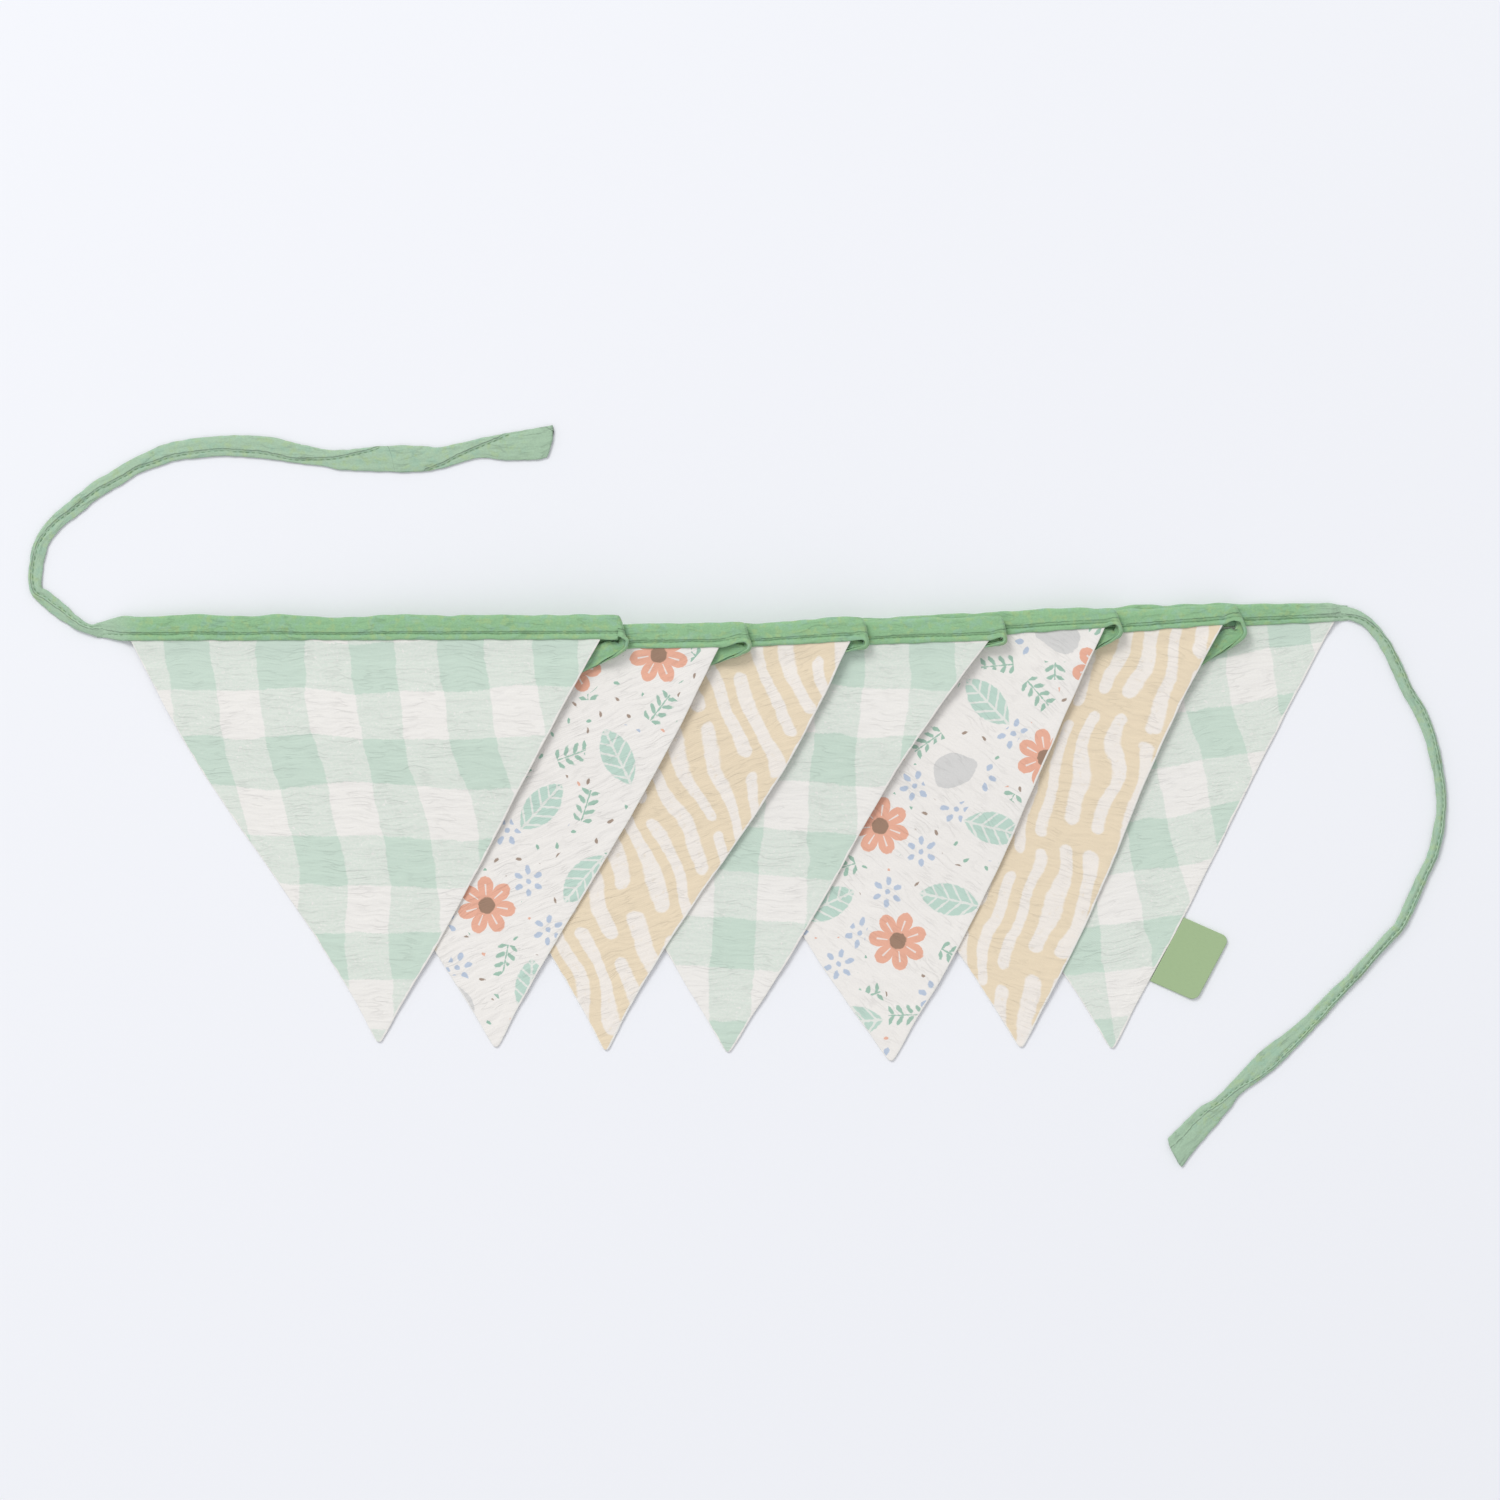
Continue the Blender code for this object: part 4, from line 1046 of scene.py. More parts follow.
# In the groups below a place is in millimetres, and noise scales are per millimetre.


def muslin_group():
    """Crinkled open weave: a height in millimetres, and the creases, where the colour gets painted
    shade.
    """
    maker, start = new_group("muslin", "V Place, F Yarn, F Depth", "F Height, F Crease, F Slub")
    place = start["Place"]
    x, y, _ = maker.split(place)
    lane = maker.noise(place, 0.055, 1.0) * 6.0 + y
    long = maker.noise(maker.join(x * 0.062, lane * 0.34), 1.0)
    # crease: the creases, which sink the bump and, through the Crease output, take painted shade.
    crease = 1.0 - maker.step(abs(long - 0.5), 0.003, 0.045)
    crease *= maker.step(maker.noise(place, 0.10, 1.0), 0.38, 0.66)
    turn = math.pi / start["Yarn"]
    weave = maker.maths("SINE", x * turn) * maker.maths("SINE", y * turn)
    slub = maker.noise(maker.join(x * 0.7, y), 1.5)
    fluff = maker.noise(maker.join(x * 0.25, y), 0.8)
    height = weave * 0.012 + slub * 0.03 + fluff * 0.10 + long * 0.50 - crease * 0.07
    return maker.end(Height=height * start["Depth"], Crease=crease, Slub=slub)


def shade_group():
    """Paints shade into a colour in the creases, and varies it along the yarns."""
    maker, start = new_group("cloth_shade", "C Color, F Crease, F Slub, F Dark, F Vary")
    # Dark sets how much painted shade the creases get.
    level = 1.0 + (start["Slub"] - 0.5) * start["Vary"] - start["Crease"] * start["Dark"]
    return maker.end(Color=maker.scaled(start["Color"], level))


def turned_edge_group():
    """The lining rolls out as a thin line along a flag's right edge, and thinner on the left."""
    maker, start = new_group("turned_edge", "V Seam, C Color, C Lining")
    seam = maker.scaled(start["Seam"], MILLI)
    right, left, _ = maker.split(seam)
    near = maker.noise(seam, 0.16) * 1.5 + 0.15 - maker.maths("MINIMUM", right, left + 0.5)
    mask = maker.step(near, -0.12, 0.12)
    return maker.end(Color=maker.mix(mask, start["Color"], start["Lining"]))


def check_group():
    """Gingham: dyed and undyed stripes both ways, mixed yarn by yarn where they cross."""
    maker, start = new_group("check", "V Place, F Wide, F High, C White, C Green")
    place = start["Place"]
    for scale, detail, reach in ((0.10, 2.0, 2.8), (0.026, 0.0, 7.0)):
        stray = maker.noise(start["Place"], scale, detail, "Color")
        stray = maker.vectors("SUBTRACT", stray, (0.5, 0.5, 0.5))
        place = maker.vectors("ADD", place, maker.scaled(stray, reach))
    rough = (maker.noise(place, 1.3) - 0.5) * 1.3
    x, y, _ = maker.split(place)
    stripes = []
    for value, size in ((x, start["Wide"]), (y, start["High"])):
        swing = maker.maths("PINGPONG", value, size) + rough
        stripes.append(maker.step(swing - size * 0.5, -0.35, 0.35))
    across, down = stripes
    mixed = abs(across - down)
    speck = (maker.noise(maker.join(x * 0.6, y), 1.25, 3.0) - 0.5) * mixed
    both = speck * 0.7 + (across + down) * 0.5
    fleck = maker.step(maker.noise(place, 0.85, 3.0), 0.60, 0.70)
    fleck *= maker.step(maker.noise(place, 0.14, 1.0), 0.40, 0.60)
    fleck *= mixed * 0.70 + 0.12
    made = maker.mix(both, start["White"], start["Green"])
    return maker.end(Color=maker.mix(fleck, made, start["White"]))


def stroke_group():
    """Wavy brushed strokes with rounded ends, in lanes that break at uneven places."""
    maker, start = new_group("strokes", "V Place, F Pitch, F Width, F Run, C Ground, C Stroke")
    place, pitch, run = start["Place"], start["Pitch"], start["Run"]
    x, y, _ = maker.split(place)
    lanes = ((maker.noise(place, 0.024, 1.0) - 0.5) * 21.0 + x) / pitch
    lane = maker.maths("FLOOR", lanes)
    middle = (lanes - lane - 0.5) * pitch
    runs = maker.chance(lane) * 5.3 + y / run
    along = abs((maker.maths("FRACT", runs) - 0.5) * run)
    size = maker.chance(maker.maths("FLOOR", runs) + lane * 17.0)
    half = start["Width"] * (size * 0.16 + 0.42)
    reach = run * 0.47 - half - size * 4.0
    past = maker.maths("MAXIMUM", along - reach, 0.0)
    ragged = (maker.noise(place, 0.28, 3.0) - 0.5) * 1.7
    gap = ragged + maker.size(maker.join(middle, past))
    mask = maker.step(half - gap, -0.5, 0.5)
    worn = 1.0 - maker.step(maker.noise(place, 0.45, 3.0), 0.55, 0.8) * 0.4
    return maker.end(Color=maker.mix(mask * worn, start["Ground"], start["Stroke"]))


def scatter_group():
    """A scattered motif's own place, turned by chance, and numbers that pick what it is."""
    maker, start = new_group("scatter", "V Place, F Pitch, F Spread, F Turn",
                             "V Own, F Pick, F Tone")
    pitch = start["Pitch"]
    cells = maker.vectors("DIVIDE", start["Place"], maker.join(pitch, pitch, 1.0))
    values = {"Vector": cells, "Scale": 1.0, "Randomness": start["Spread"]}
    points = maker.outputs("ShaderNodeTexVoronoi", values, voronoi_dimensions="2D", feature="F1")
    own = maker.scaled(maker.vectors("SUBTRACT", cells, points["Position"]), pitch)
    pick, tone, angle = maker.split(points["Color"])
    own = maker.turned(own, (angle - 0.5) * start["Turn"])
    return maker.end(Own=own, Pick=pick, Tone=tone)


PRINT_COLOURS = ("Ground", "Coral", "Sage", "Mist", "Rain", "Bark", "Sand", "Slate")
NO_LESS, NO_MORE = -1.0, 99.0       # bounds that keep everything


def print_group(scatter):
    """A plain scattered print: flowers, leaves and pebbles, with sprays, berries and seeds."""
    inputs = ["V Place", "F Pitch", "F Mid", "F Seed"] + ["C " + name for name in PRINT_COLOURS]
    maker, start = new_group("scattered_print", ", ".join(inputs))
    place = start["Place"]
    rough = (maker.noise(place, 0.5, 3.0) - 0.5) * 1.4

    def painted(distance, soft=0.28):
        """1 inside a motif, with a brushed edge."""
        return maker.step(distance + rough, soft, -soft)

    def kept(mask, value, low, high):
        """The mask where the value lies between the bounds."""
        mask *= maker.maths("GREATER_THAN", value, low)
        return mask * maker.maths("LESS_THAN", value, high)

    def scattered(move, pitch, spread, turn):
        moved = maker.vectors("ADD", place, move) if any(move) else place
        made = maker.use(scatter, Place=moved, Pitch=start[pitch], Spread=spread, Turn=turn)
        return made["Own"], made["Pick"], made["Tone"]

    own, pick, tone = scattered((0.0, 0.0, 0.0), "Pitch", 0.4, 5.0)
    x, y, _ = maker.split(own)
    away = maker.size(own)
    swirl = maker.maths("ARCTAN2", y, x) * 3.5
    petals = maker.maths("POWER", abs(maker.maths("COSINE", swirl)), 0.55)
    flower = kept(painted(away - (petals * 6.4 + 6.2)), pick, NO_LESS, 0.36)
    veins = maker.step(abs(maker.maths("SINE", swirl)) - 0.16, 0.05, -0.05)
    veins = kept(kept(veins, away, 4.4, 9.2), pick, NO_LESS, 0.36)
    heart = kept(painted(away - 3.6), pick, NO_LESS, 0.36)
    bow = maker.vectors("ADD", maker.join(abs(x), y), (9.5, 0.0, 0.0))
    blade = kept(painted(maker.size(bow) - 16.2), pick, 0.36, 0.66)
    ribs = painted(maker.maths("PINGPONG", abs(x) * -0.8 + y, 2.6) - 0.55, 0.2)
    ribs = maker.maths("MAXIMUM", ribs, painted(abs(x) - 0.5, 0.2)) * blade
    bulge = maker.vectors("MULTIPLY", own, (1.0, 1.45, 0.0))
    wave = (maker.noise(place, 0.07, 1.0) - 0.5) * 10.0
    pebble = kept(painted(maker.size(bulge) + wave - 10.5), pick, 0.66, NO_MORE)

    own, pick, _ = scattered((11.0, 53.0, 0.0), "Mid", 0.5, 6.0)
    near = maker.size(own)
    x, y, _ = maker.split(own)
    row = (maker.maths("FRACT", y / 4.2) - 0.5) * 4.2
    leaf = maker.turned(maker.join(abs(x) - 2.3, row), -0.62)
    leaf = painted(maker.size(maker.vectors("MULTIPLY", leaf, (0.42, 1.05, 0.0))) - 0.95, 0.2)
    spray = maker.maths("MAXIMUM", leaf, painted(abs(x) - 0.28, 0.2))
    spray = kept(kept(kept(spray, y, -7.0, 7.0), pick, NO_LESS, 0.5), away, 14.0, NO_MORE)
    spoke = maker.maths("PINGPONG", maker.maths("ARCTAN2", y, x), math.pi / 6.0)
    dot = maker.join(near * maker.maths("COSINE", spoke) - 4.9, near * maker.maths("SINE", spoke))
    berries = maker.size(maker.vectors("MULTIPLY", dot, (0.62, 1.0, 0.0)))
    berries = painted(maker.maths("MINIMUM", berries, near) - 1.15, 0.2)
    berries = kept(kept(kept(berries, pick, 0.5, 0.9), near, NO_LESS, 8.0), away, 14.0, NO_MORE)

    own, pick, _ = scattered((31.0, 17.0, 0.0), "Seed", 0.7, 6.3)
    seeds = maker.size(maker.vectors("MULTIPLY", own, (1.0, 0.5, 0.0)))
    seeds = painted(seeds - 0.62, 0.16)
    seeds = kept(kept(seeds, away, 15.0, NO_MORE), near, 9.0, NO_MORE)

    made = start["Ground"]
    for mask, strength, name in (
            (kept(pebble, tone, NO_LESS, 0.5), 0.95, "Sand"),
            (kept(pebble, tone, 0.5, NO_MORE), 0.9, "Slate"),
            (blade, 0.9, "Mist"),
            (ribs, 0.75, "Ground"),
            (spray, 0.8, "Sage"),
            (berries, 0.9, "Rain"),
            (kept(seeds, pick, NO_LESS, 0.4), 0.85, "Bark"),
            (kept(seeds, pick, 0.4, 0.7), 0.85, "Sage"),
            (kept(seeds, pick, 0.7, NO_MORE), 0.85, "Coral"),
            (flower, 0.92, "Coral"),
            (veins, 0.8, "Ground"),
            (heart, 0.9, "Bark")):
        made = maker.mix(mask * strength, made, start[name])
    return maker.end(Color=made)


def mottle_group():
    """Cloth dyed unevenly, in spots of two more tones."""
    maker, start = new_group("mottle", "V Place, C Base, C Warm, C Cool, F Amount")
    apart = maker.vectors("ADD", start["Place"], (0.0, 0.0, 60.0))
    made = start["Base"]
    for place, scale, tone in ((start["Place"], 0.30, "Warm"), (apart, 0.26, "Cool")):
        spots = maker.step(maker.noise(place, scale, 3.0), 0.50, 0.66)
        made = maker.mix(spots * start["Amount"], made, start[tone])
    return maker.end(Color=made)


def groove_shade_group():
    """Paints shade into the sewn groove along the binding, unevenly."""
    maker, start = new_group("groove", "V Place, F At, C Color")
    along, across, _ = maker.split(start["Place"])
    stray = maker.noise(maker.join(along, 0.0), 0.45, 3.0)
    away = abs(across - (stray * 0.9 + start["At"]) - 0.45)
    # mask: where the groove's painted shade lies. At its middle it takes the colour down to half.
    mask = 1.0 - maker.step(away, 0.04, 0.32)
    mask *= maker.step(maker.noise(maker.join(along, 5.0), 0.35), 0.2, 0.5)
    return maker.end(Color=maker.mix(mask, start["Color"], maker.scaled(start["Color"], 0.5)))


def new_material(name):
    made = bpy.data.materials.new(name)
    made.use_nodes = True
    made.node_tree.nodes.clear()
    return made, Tree(made.node_tree)


def close_material(maker, colour, height, rough=0.9, sheen=0.25):
    """Puts the Principled BSDF and the bump at the end. height is in millimetres."""
    normal = maker.out(0, "ShaderNodeBump", {"Height": height, "Distance": 1.0 / MILLI,
                                             "Strength": 1.0})
    shader = maker.out(0, "ShaderNodeBsdfPrincipled", {
        "Base Color": colour, "Roughness": rough, "Normal": normal, "Sheen Weight": sheen,
        "Sheen Roughness": 0.55, "Specular IOR Level": 0.25})
    maker.add("ShaderNodeOutputMaterial", {"Surface": shader})


def patterned(group, **values):
    """A maker of colour for a cloth, with one of the groups."""
    return lambda maker, place: maker.use(group, Place=place, **values)["Color"]


class Finishes:
    """The cloths, made once and shared."""

    def __init__(self, sizes, colours):
        self.sizes = sizes
        self.colours = colours
        self.muslin = muslin_group()
        self.shade = shade_group()
        self.edge = turned_edge_group()
        self.mottle = mottle_group()
        # Painted shade for the sewn groove.
        self.groove = groove_shade_group()

    def cloth(self, name, colour_of, dark=0.08, vary=0.09, depth=1.15, seam=True):
        """A muslin. colour_of makes its colour from a tree and the place in millimetres."""
        made, maker = new_material(name)
        place = maker.scaled(maker.mapped("cloth"), MILLI)
        woven = maker.use(self.muslin, Place=place, Yarn=self.sizes.yarn * MILLI, Depth=depth)
        colour = colour_of(maker, place)
        if seam:
            colour = maker.use(self.edge, Seam=maker.mapped("seam"), Color=colour,
                               Lining=self.colours.lining)["Color"]
        # The colour gets painted shade in the creases, as much as dark says.
        colour = maker.use(self.shade, Color=colour, Crease=woven["Crease"], Slub=woven["Slub"],
                           Dark=dark, Vary=vary)["Color"]
        close_material(maker, colour, woven["Height"])
        return made

    def checked(self):
        return self.cloth("check_muslin", patterned(
            check_group(), Wide=self.sizes.square_wide * MILLI,
            High=self.sizes.square_high * MILLI, White=self.colours.check_white,
            Green=self.colours.check_green))

    def stroked(self):
        return self.cloth("stroke_muslin", patterned(
            stroke_group(), Pitch=self.sizes.stroke_pitch * MILLI,
            Width=self.sizes.stroke_width * MILLI, Run=self.sizes.stroke_length * MILLI,
            Ground=self.colours.beige, Stroke=self.colours.cream))

    def printed(self):
        tones = {name: getattr(self.colours, name.lower()) for name in PRINT_COLOURS}
        return self.cloth("print_muslin", patterned(
            print_group(scatter_group()), Pitch=self.sizes.motif_pitch * MILLI,
            Mid=self.sizes.spray_pitch * MILLI, Seed=self.sizes.seed_pitch * MILLI, **tones))

    def lined(self):
        def colour_of(maker, place):
            plain = self.colours.lining
            return maker.mix(maker.noise(place, 0.08), plain, maker.scaled(plain, 0.94))
        return self.cloth("lining_muslin", colour_of, seam=False)

    def taped(self, name, base, amount, groove_at):
        """Tape that takes the ties' colour at both ends of its length."""
        def colour_of(maker, place):
            made = maker.use(self.mottle, Place=place, Base=base, Warm=self.colours.tape_warm,
                             Cool=self.colours.tape_cool, Amount=amount)["Color"]
            seam = maker.scaled(maker.mapped("seam"), MILLI)
            from_end, _, _ = maker.split(seam)
            made = maker.mix(maker.step(from_end, 3.0, 24.0), self.colours.tie, made)
            # The sewn groove gets painted shade.
            return maker.use(self.groove, Place=seam, At=groove_at, Color=made)["Color"]
        # The binding and ties get twice the flags' painted shade in their creases.
        return self.cloth(name, colour_of, dark=0.16, vary=0.34, depth=1.5, seam=False)

    def ribbon(self):
        made, maker = new_material("tab_ribbon")
        x, y, _ = maker.split(maker.scaled(maker.mapped("cloth"), MILLI))
        fine = maker.noise(maker.join(x * 0.5, y * 3.0), 1.0, 3.0)
        height = fine * 0.03 + maker.maths("SINE", y * 7.5) * 0.010
        plain = self.colours.tab
        tone = maker.mix(fine, maker.scaled(plain, 0.93), maker.scaled(plain, 1.05))
        close_material(maker, tone, height, rough=0.55, sheen=0.1)
        return made

    def thread(self):
        made, maker = new_material("sewing_thread")
        place = maker.out("Object", "ShaderNodeTexCoord")
        fine = maker.noise(maker.scaled(place, MILLI), 3.0)
        plain = self.colours.tape
        tone = maker.mix(fine, maker.scaled(plain, 0.55), maker.scaled(plain, 0.8))
        close_material(maker, tone, fine * 0.05, rough=0.7, sheen=0.1)
        return made


SHARED = {}


def finishes():
    """The materials, built on first use from the scene's colours and sizes."""
    if not SHARED:
        colours = bpy.context.scene.bunting_colours
        kit = Finishes(bpy.context.scene.bunting_sizes, colours)
        groove_at = GROOVE_AT * TAPE_WIDTH * MILLI
        SHARED.update({
            "check": kit.checked(), "print": kit.printed(), "stroke": kit.stroked(),
            "lining": kit.lined(), "tab": kit.ribbon(), "thread": kit.thread(),
            "tape": kit.taped("binding_muslin", colours.tape, 0.42, groove_at),
            # The ties get the same painted shade along their front layer's edge.
            "tie": kit.taped("tie_muslin", colours.tie, 0.35, 0.0)})
    return SHARED


def stitch_tree():
    """Stitches along a line: even points, each with a short round thread, made real."""
    tree = bpy.data.node_groups.new("sewn_stitches", "GeometryNodeTree")
    sockets = {}
    for label, kind, way in (("Line", "Geometry", "INPUT"), ("Pitch", "Float", "INPUT"),
                             ("Length", "Float", "INPUT"), ("Thread", "Float", "INPUT"),
                             ("Slant", "Float", "INPUT"), ("Seed", "Int", "INPUT"),
                             ("Finish", "Material", "INPUT"), ("Stitches", "Geometry", "OUTPUT")):
        socket = tree.interface.new_socket(label, in_out=way, socket_type="NodeSocket" + kind)
        sockets[label] = socket.identifier
    maker = Tree(tree)
    start = maker.outputs("NodeGroupInput")
    curve = maker.out(0, "GeometryNodeMeshToCurve", {"Mesh": start["Line"]})
    points = maker.outputs("GeometryNodeCurveToPoints", {"Curve": curve, "Length": start["Pitch"]},
                           mode="LENGTH")
    chance = maker.out(1, "FunctionNodeRandomValue", {2: -1.0, 3: 1.0, "Seed": start["Seed"]},
                       data_type="FLOAT")
    facing = maker.out(0, "FunctionNodeAlignRotationToVector", {"Vector": points["Tangent"]},
                       axis="X")
    spin = maker.out(0, "FunctionNodeAxisAngleToRotation", {
        "Axis": (0.0, 0.0, 1.0), "Angle": chance * start["Slant"]})
    turned = maker.out(0, "FunctionNodeRotateRotation", {"Rotation": facing, "Rotate By": spin})
    ball = maker.out(0, "GeometryNodeMeshUVSphere", {"Segments": 6, "Rings": 5, "Radius": 0.5})
    size = maker.join(start["Length"], start["Thread"], start["Thread"])
    thread = maker.out(0, "GeometryNodeTransform", {"Geometry": ball, "Scale": size})
    made = maker.out(0, "GeometryNodeInstanceOnPoints", {
        "Points": points["Points"], "Instance": thread, "Rotation": turned})
    made = maker.out(0, "GeometryNodeRealizeInstances", {"Geometry": made})
    made = maker.out(0, "GeometryNodeSetShadeSmooth", {"Geometry": made})
    made = maker.out(0, "GeometryNodeSetMaterial", {"Geometry": made,
                                                    "Material": start["Finish"]})
    maker.end(Stitches=made)
    return tree, sockets


def sew(name, lines, slant, seed):
    """Stitches along each line, as one plain mesh."""
    sizes = bpy.context.scene.bunting_sizes
    tree, sockets = stitch_tree()
    points, edges = [], []
    for line in lines:
        edges += [(len(points) + step, len(points) + step + 1) for step in range(len(line) - 1)]
        points += [tuple(point) for point in line]
    mesh = bpy.data.meshes.new(name + "_lines")
    mesh.from_pydata(points, edges, [])
    guide = add_object(name + "_guide", mesh)
    modifier = guide.modifiers.new("Stitches", "NODES")
    modifier.node_group = tree
    for label, value in (("Pitch", sizes.stitch_pitch), ("Length", sizes.stitch_length),
                         ("Thread", sizes.thread), ("Slant", slant), ("Seed", seed),
                         ("Finish", finishes()["thread"])):
        modifier[sockets[label]] = value
    graph = bpy.context.evaluated_depsgraph_get()
    sewn = bpy.data.meshes.new_from_object(guide.evaluated_get(graph))
    sewn.name = name
    made = add_object(name, sewn)
    bpy.data.objects.remove(guide, do_unlink=True)
    if not sewn.polygons:
        raise RuntimeError("no stitches were made for " + name)
    return made


class BUNTING_OT_stage(Operator):
    """Add the camera straight above, the soft light and the pale floor"""
    bl_idname = "bunting.stage"
    bl_label = "Stage"

    def execute(self, context):
        stage = context.scene.bunting_stage
        lens = bpy.data.cameras.new("camera")
        lens.type = "PERSP"
        lens.lens = stage.lens
        lens.sensor_width = stage.sensor
        lens.clip_end = 50.0
        camera = add_object("camera", lens)
        distance = stage.frame_width * stage.lens / stage.sensor
        camera.location = (stage.centre_x, stage.centre_y, distance)
        context.scene.camera = camera
        context.scene.view_settings.view_transform = "Standard"

        lamp = bpy.data.lights.new("key", "AREA")
        lamp.shape = "DISK"
        lamp.size = stage.key_size
        lamp.energy = stage.key
        key = add_object("key", lamp)
        key.location = KEY_PLACE
        key.rotation_euler = (-key.location).to_track_quat("-Z", "Y").to_euler()

        world = bpy.data.worlds.new("sky")
        world.use_nodes = True
        back = world.node_tree.nodes["Background"]
        back.inputs["Color"].default_value = stage.sky_tint
        back.inputs["Strength"].default_value = stage.sky
        context.scene.world = world

        half = FLOOR_SIZE / 2.0
        corners = [(x, y, -FLOOR_DROP)
                   for x, y in ((-half, -half), (half, -half), (half, half), (-half, half))]
        finish = bpy.data.materials.new("floor_paper")
        finish.use_nodes = True
        shader = finish.node_tree.nodes["Principled BSDF"]
        shader.inputs["Base Color"].default_value = stage.floor
        shader.inputs["Roughness"].default_value = 0.95
        shader.inputs["Specular IOR Level"].default_value = 0.1
        floor = add_mesh("floor", corners, [(0, 1, 2, 3)], [finish])
        return {"FINISHED"}


class BUNTING_OT_ties(Operator):
    """Add the two folded ties, lying loose on the surface"""
    bl_idname = "bunting.ties"
    bl_label = "Ties"

    def execute(self, context):
        pucker = context.scene.bunting_sizes.pucker
        for name, route in (("tie_left", LEFT_TIE), ("tie_right", RIGHT_TIE)):
            made, middles, long = make_tie(name + "_strip", route, finishes()["tie"], pucker)
            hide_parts(name)
            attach(made, BODY)
        return {"FINISHED"}


class BUNTING_OT_flags(Operator):
    """Add the seven muslin flags, each with its own cut of cloth"""
    bl_idname = "bunting.flags"
    bl_label = "Flags"

    def execute(self, context):
        crinkle = context.scene.bunting_sizes.crinkle
        for index, flag in enumerate(FLAGS):
            cloths = [finishes()[flag.cloth], finishes()["lining"]]
            made = make_flag(index, cloths, crinkle)
            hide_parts(flag.name)
            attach(made, BODY)
            long = heading_frame(flag)[3]
            deep = TUCK + abs(flag.tip[1] - flag.left[1])
            0.52 * long * deep
        return {"FINISHED"}


class BUNTING_OT_binding(Operator):
    """Add the one folded binding that runs through all the flags"""
    bl_idname = "bunting.binding"
    bl_label = "Binding"

    def execute(self, context):
        stations = binding_stations()
        rings, places = [], []
        for station in stations:
            ring, across = ring_points(station, context.scene.bunting_sizes.pucker)
            rings.append(ring)
            places.append(across)
        travels = [station.travel for station in stations]
        made = sweep("binding_tape", rings, travels, places, finishes()["tape"])
        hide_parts("binding")
        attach(made, BODY)
        return {"FINISHED"}


class BUNTING_OT_side_tab(Operator):
    """Add the plain tab in the last flag's right seam"""
    bl_idname = "bunting.side_tab"
    bl_label = "Side tab"

    def execute(self, context):
        flag = FLAGS[LAST]
        top, bottom = (flat(side_edge(flag, 1, share)) for share in (TAB_FROM, TAB_TO))
        seam = (bottom - top).normalized()
        outwards = Vector((-seam.y, seam.x, 0.0))
        long = (bottom - top).length
        grid = np.zeros((TAB_ROWS, TAB_COLUMNS, 3))
        maps = np.zeros((TAB_ROWS, TAB_COLUMNS, 2))
        edge = np.zeros((TAB_ROWS, TAB_COLUMNS))
        rows, columns = (0.5 - 0.5 * np.cos(np.linspace(0.0, math.pi, count))
                         for count in (TAB_ROWS, TAB_COLUMNS))
        for row, down in enumerate(rows):
            for column, out in enumerate(columns):
                reach = out * TAB_REACH
                into = max(0.0, reach - TAB_REACH + TAB_CORNER)
                short = TAB_CORNER - math.sqrt(max(0.0, TAB_CORNER ** 2 - into ** 2))
                place = short + (long - 2.0 * short) * down
                point = top + seam * (place - TAB_LEAN * out) + outwards * (reach + TAB_GAP)
                middle = TAB_THICK / 2.0 + TAB_LIFT + TAB_CURL * (out ** 2) * (0.4 + 0.6 * down)
                grid[row, column] = (point.x, point.y, middle)
                maps[row, column] = (reach, place)
                edge[row, column] = min(place - short, long - short - place, TAB_REACH - reach, reach)
        cloth = finishes()["tab"]
        made = cloth_sheet("side_tab_ribbon", grid, TAB_THICK, rim_share(edge), {"cloth": maps},
                           [cloth, cloth])
        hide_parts("side_tab")
        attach(made, BODY)
        return {"FINISHED"}


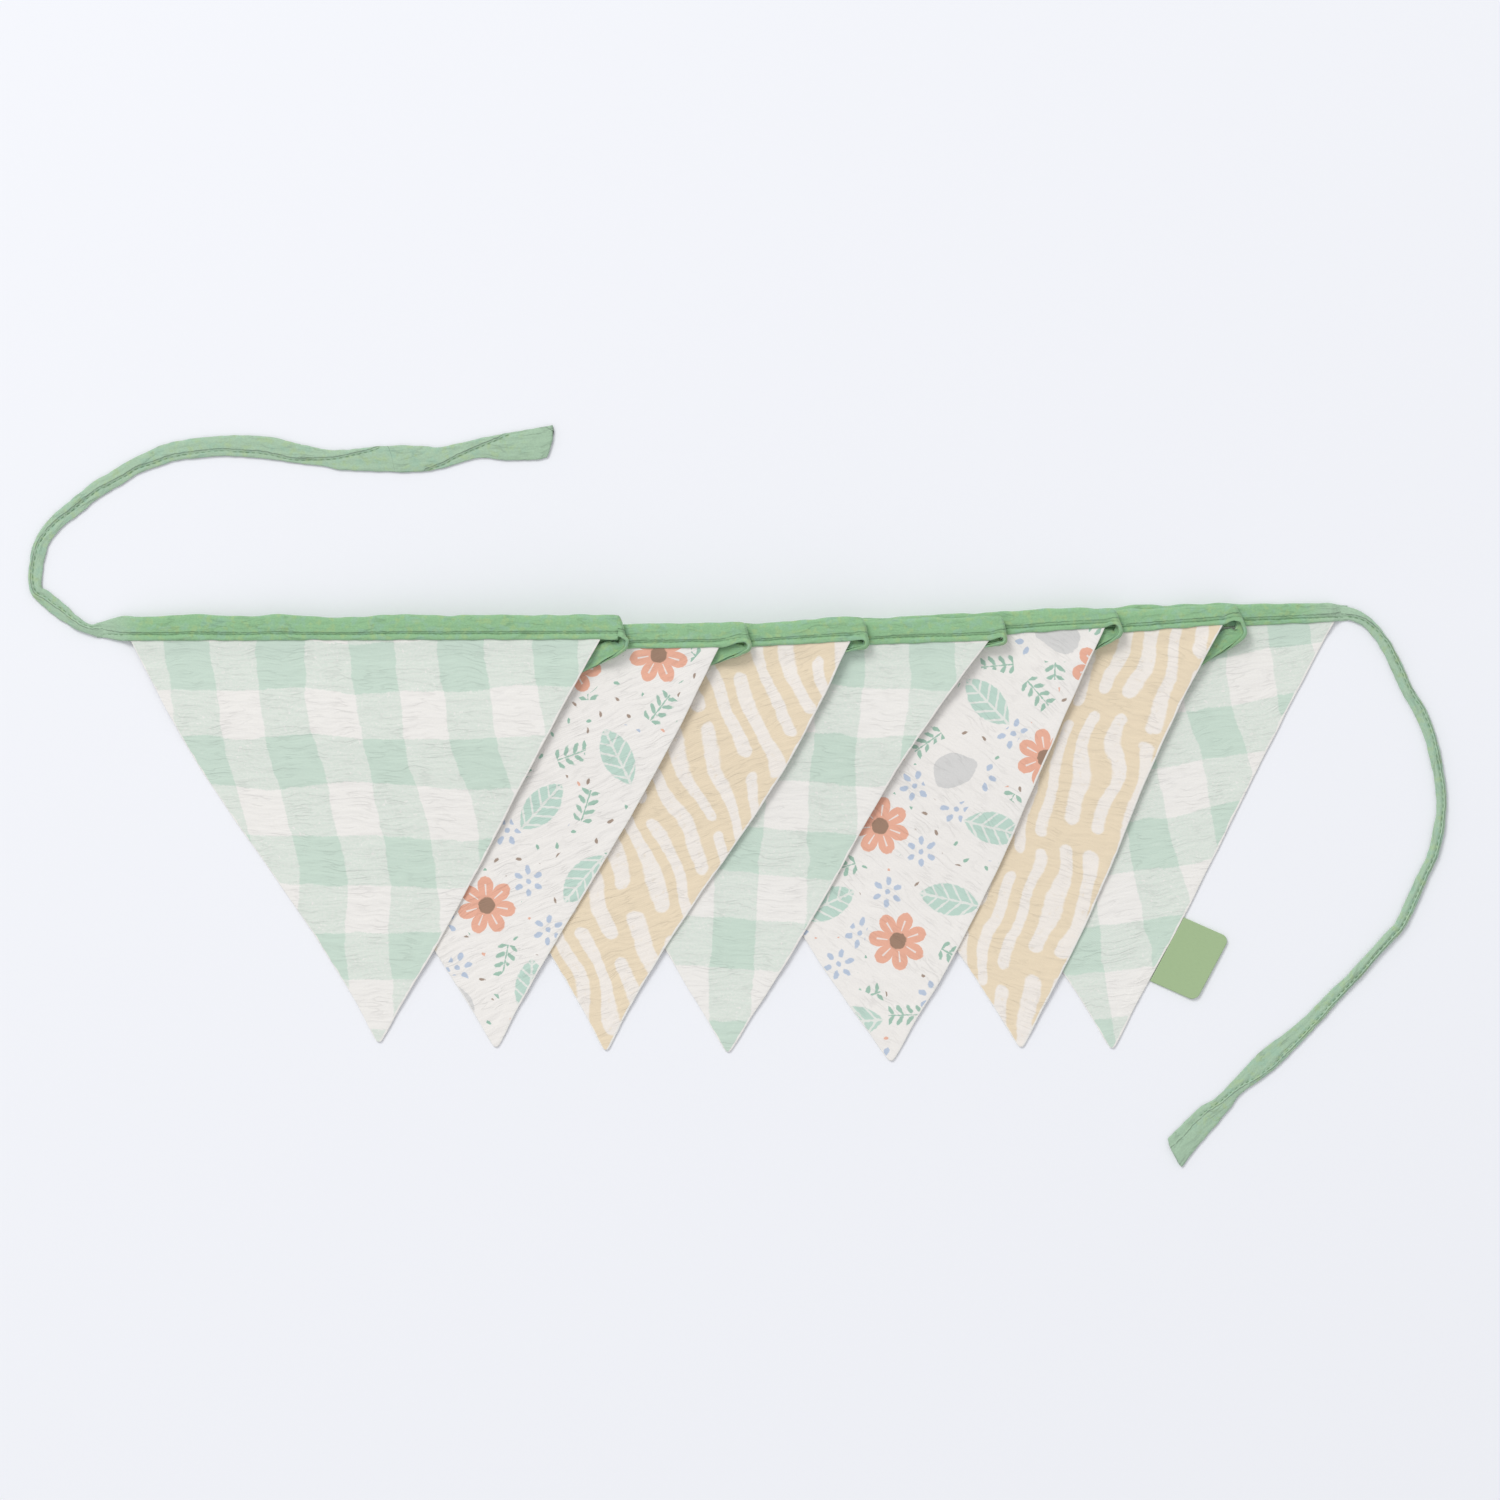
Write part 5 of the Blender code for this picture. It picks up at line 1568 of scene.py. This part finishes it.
class BUNTING_OT_stitches(Operator):
    """Sew along the binding's front edge and along the ties"""
    bl_idname = "bunting.stitches"
    bl_label = "Stitches"

    def execute(self, context):
        pucker = context.scene.bunting_sizes.pucker
        groove = [number for number, (share, _) in enumerate(FRONT)
                  if abs(share - GROOVE_AT) < 0.015]
        lines = []
        travel = START_REACH
        for index in range(len(FLAGS)):
            rings = [ring_points(station, pucker)[0]
                     for station in heading_stations(index, travel)[::2]]
            lines.append([(ring[groove[0]] + ring[groove[1]]) / 2.0 for ring in rings])
            if index < LAST:
                travel = curl_stations(index, travel)[1]
        for route in (LEFT_TIE, RIGHT_TIE):
            lines += tie_sections(route, pucker)[5]
        made = sew("binding_stitches", lines, 0.16, 3)
        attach(made, BODY)
        return {"FINISHED"}


class VIEW3D_PT_bunting(Panel):
    """Sizes, colours and pieces of the bunting"""
    bl_label = "Bunting"
    bl_idname = "VIEW3D_PT_bunting"
    bl_space_type = "VIEW_3D"
    bl_region_type = "UI"
    bl_category = "Bunting"

    def draw(self, context):
        for operator in OPERATORS:
            self.layout.operator(operator.bl_idname)
        for group in (context.scene.bunting_sizes, context.scene.bunting_colours,
                      context.scene.bunting_stage):
            box = self.layout.box()
            for name in group.__annotations__:
                box.prop(group, name)


OPERATORS = (BUNTING_OT_stage, BUNTING_OT_ties, BUNTING_OT_flags, BUNTING_OT_binding,
             BUNTING_OT_side_tab, BUNTING_OT_stitches)
GROUPS = {"bunting_sizes": BuntingSizes, "bunting_colours": BuntingColours,
          "bunting_stage": BuntingStage}


def register():
    for kind in (*GROUPS.values(), *OPERATORS, VIEW3D_PT_bunting):
        bpy.utils.register_class(kind)
    for name, kind in GROUPS.items():
        setattr(bpy.types.Scene, name, PointerProperty(type=kind))


def unregister():
    for name in GROUPS:
        delattr(bpy.types.Scene, name)
    for kind in (VIEW3D_PT_bunting, *reversed(OPERATORS), *reversed(GROUPS.values())):
        bpy.utils.unregister_class(kind)


def main():
    register()
    bpy.ops.bunting.stage()
    bpy.ops.bunting.ties()
    bpy.ops.bunting.flags()
    bpy.ops.bunting.binding()
    bpy.ops.bunting.side_tab()
    bpy.ops.bunting.stitches()


if __name__ == "__main__":
    main()
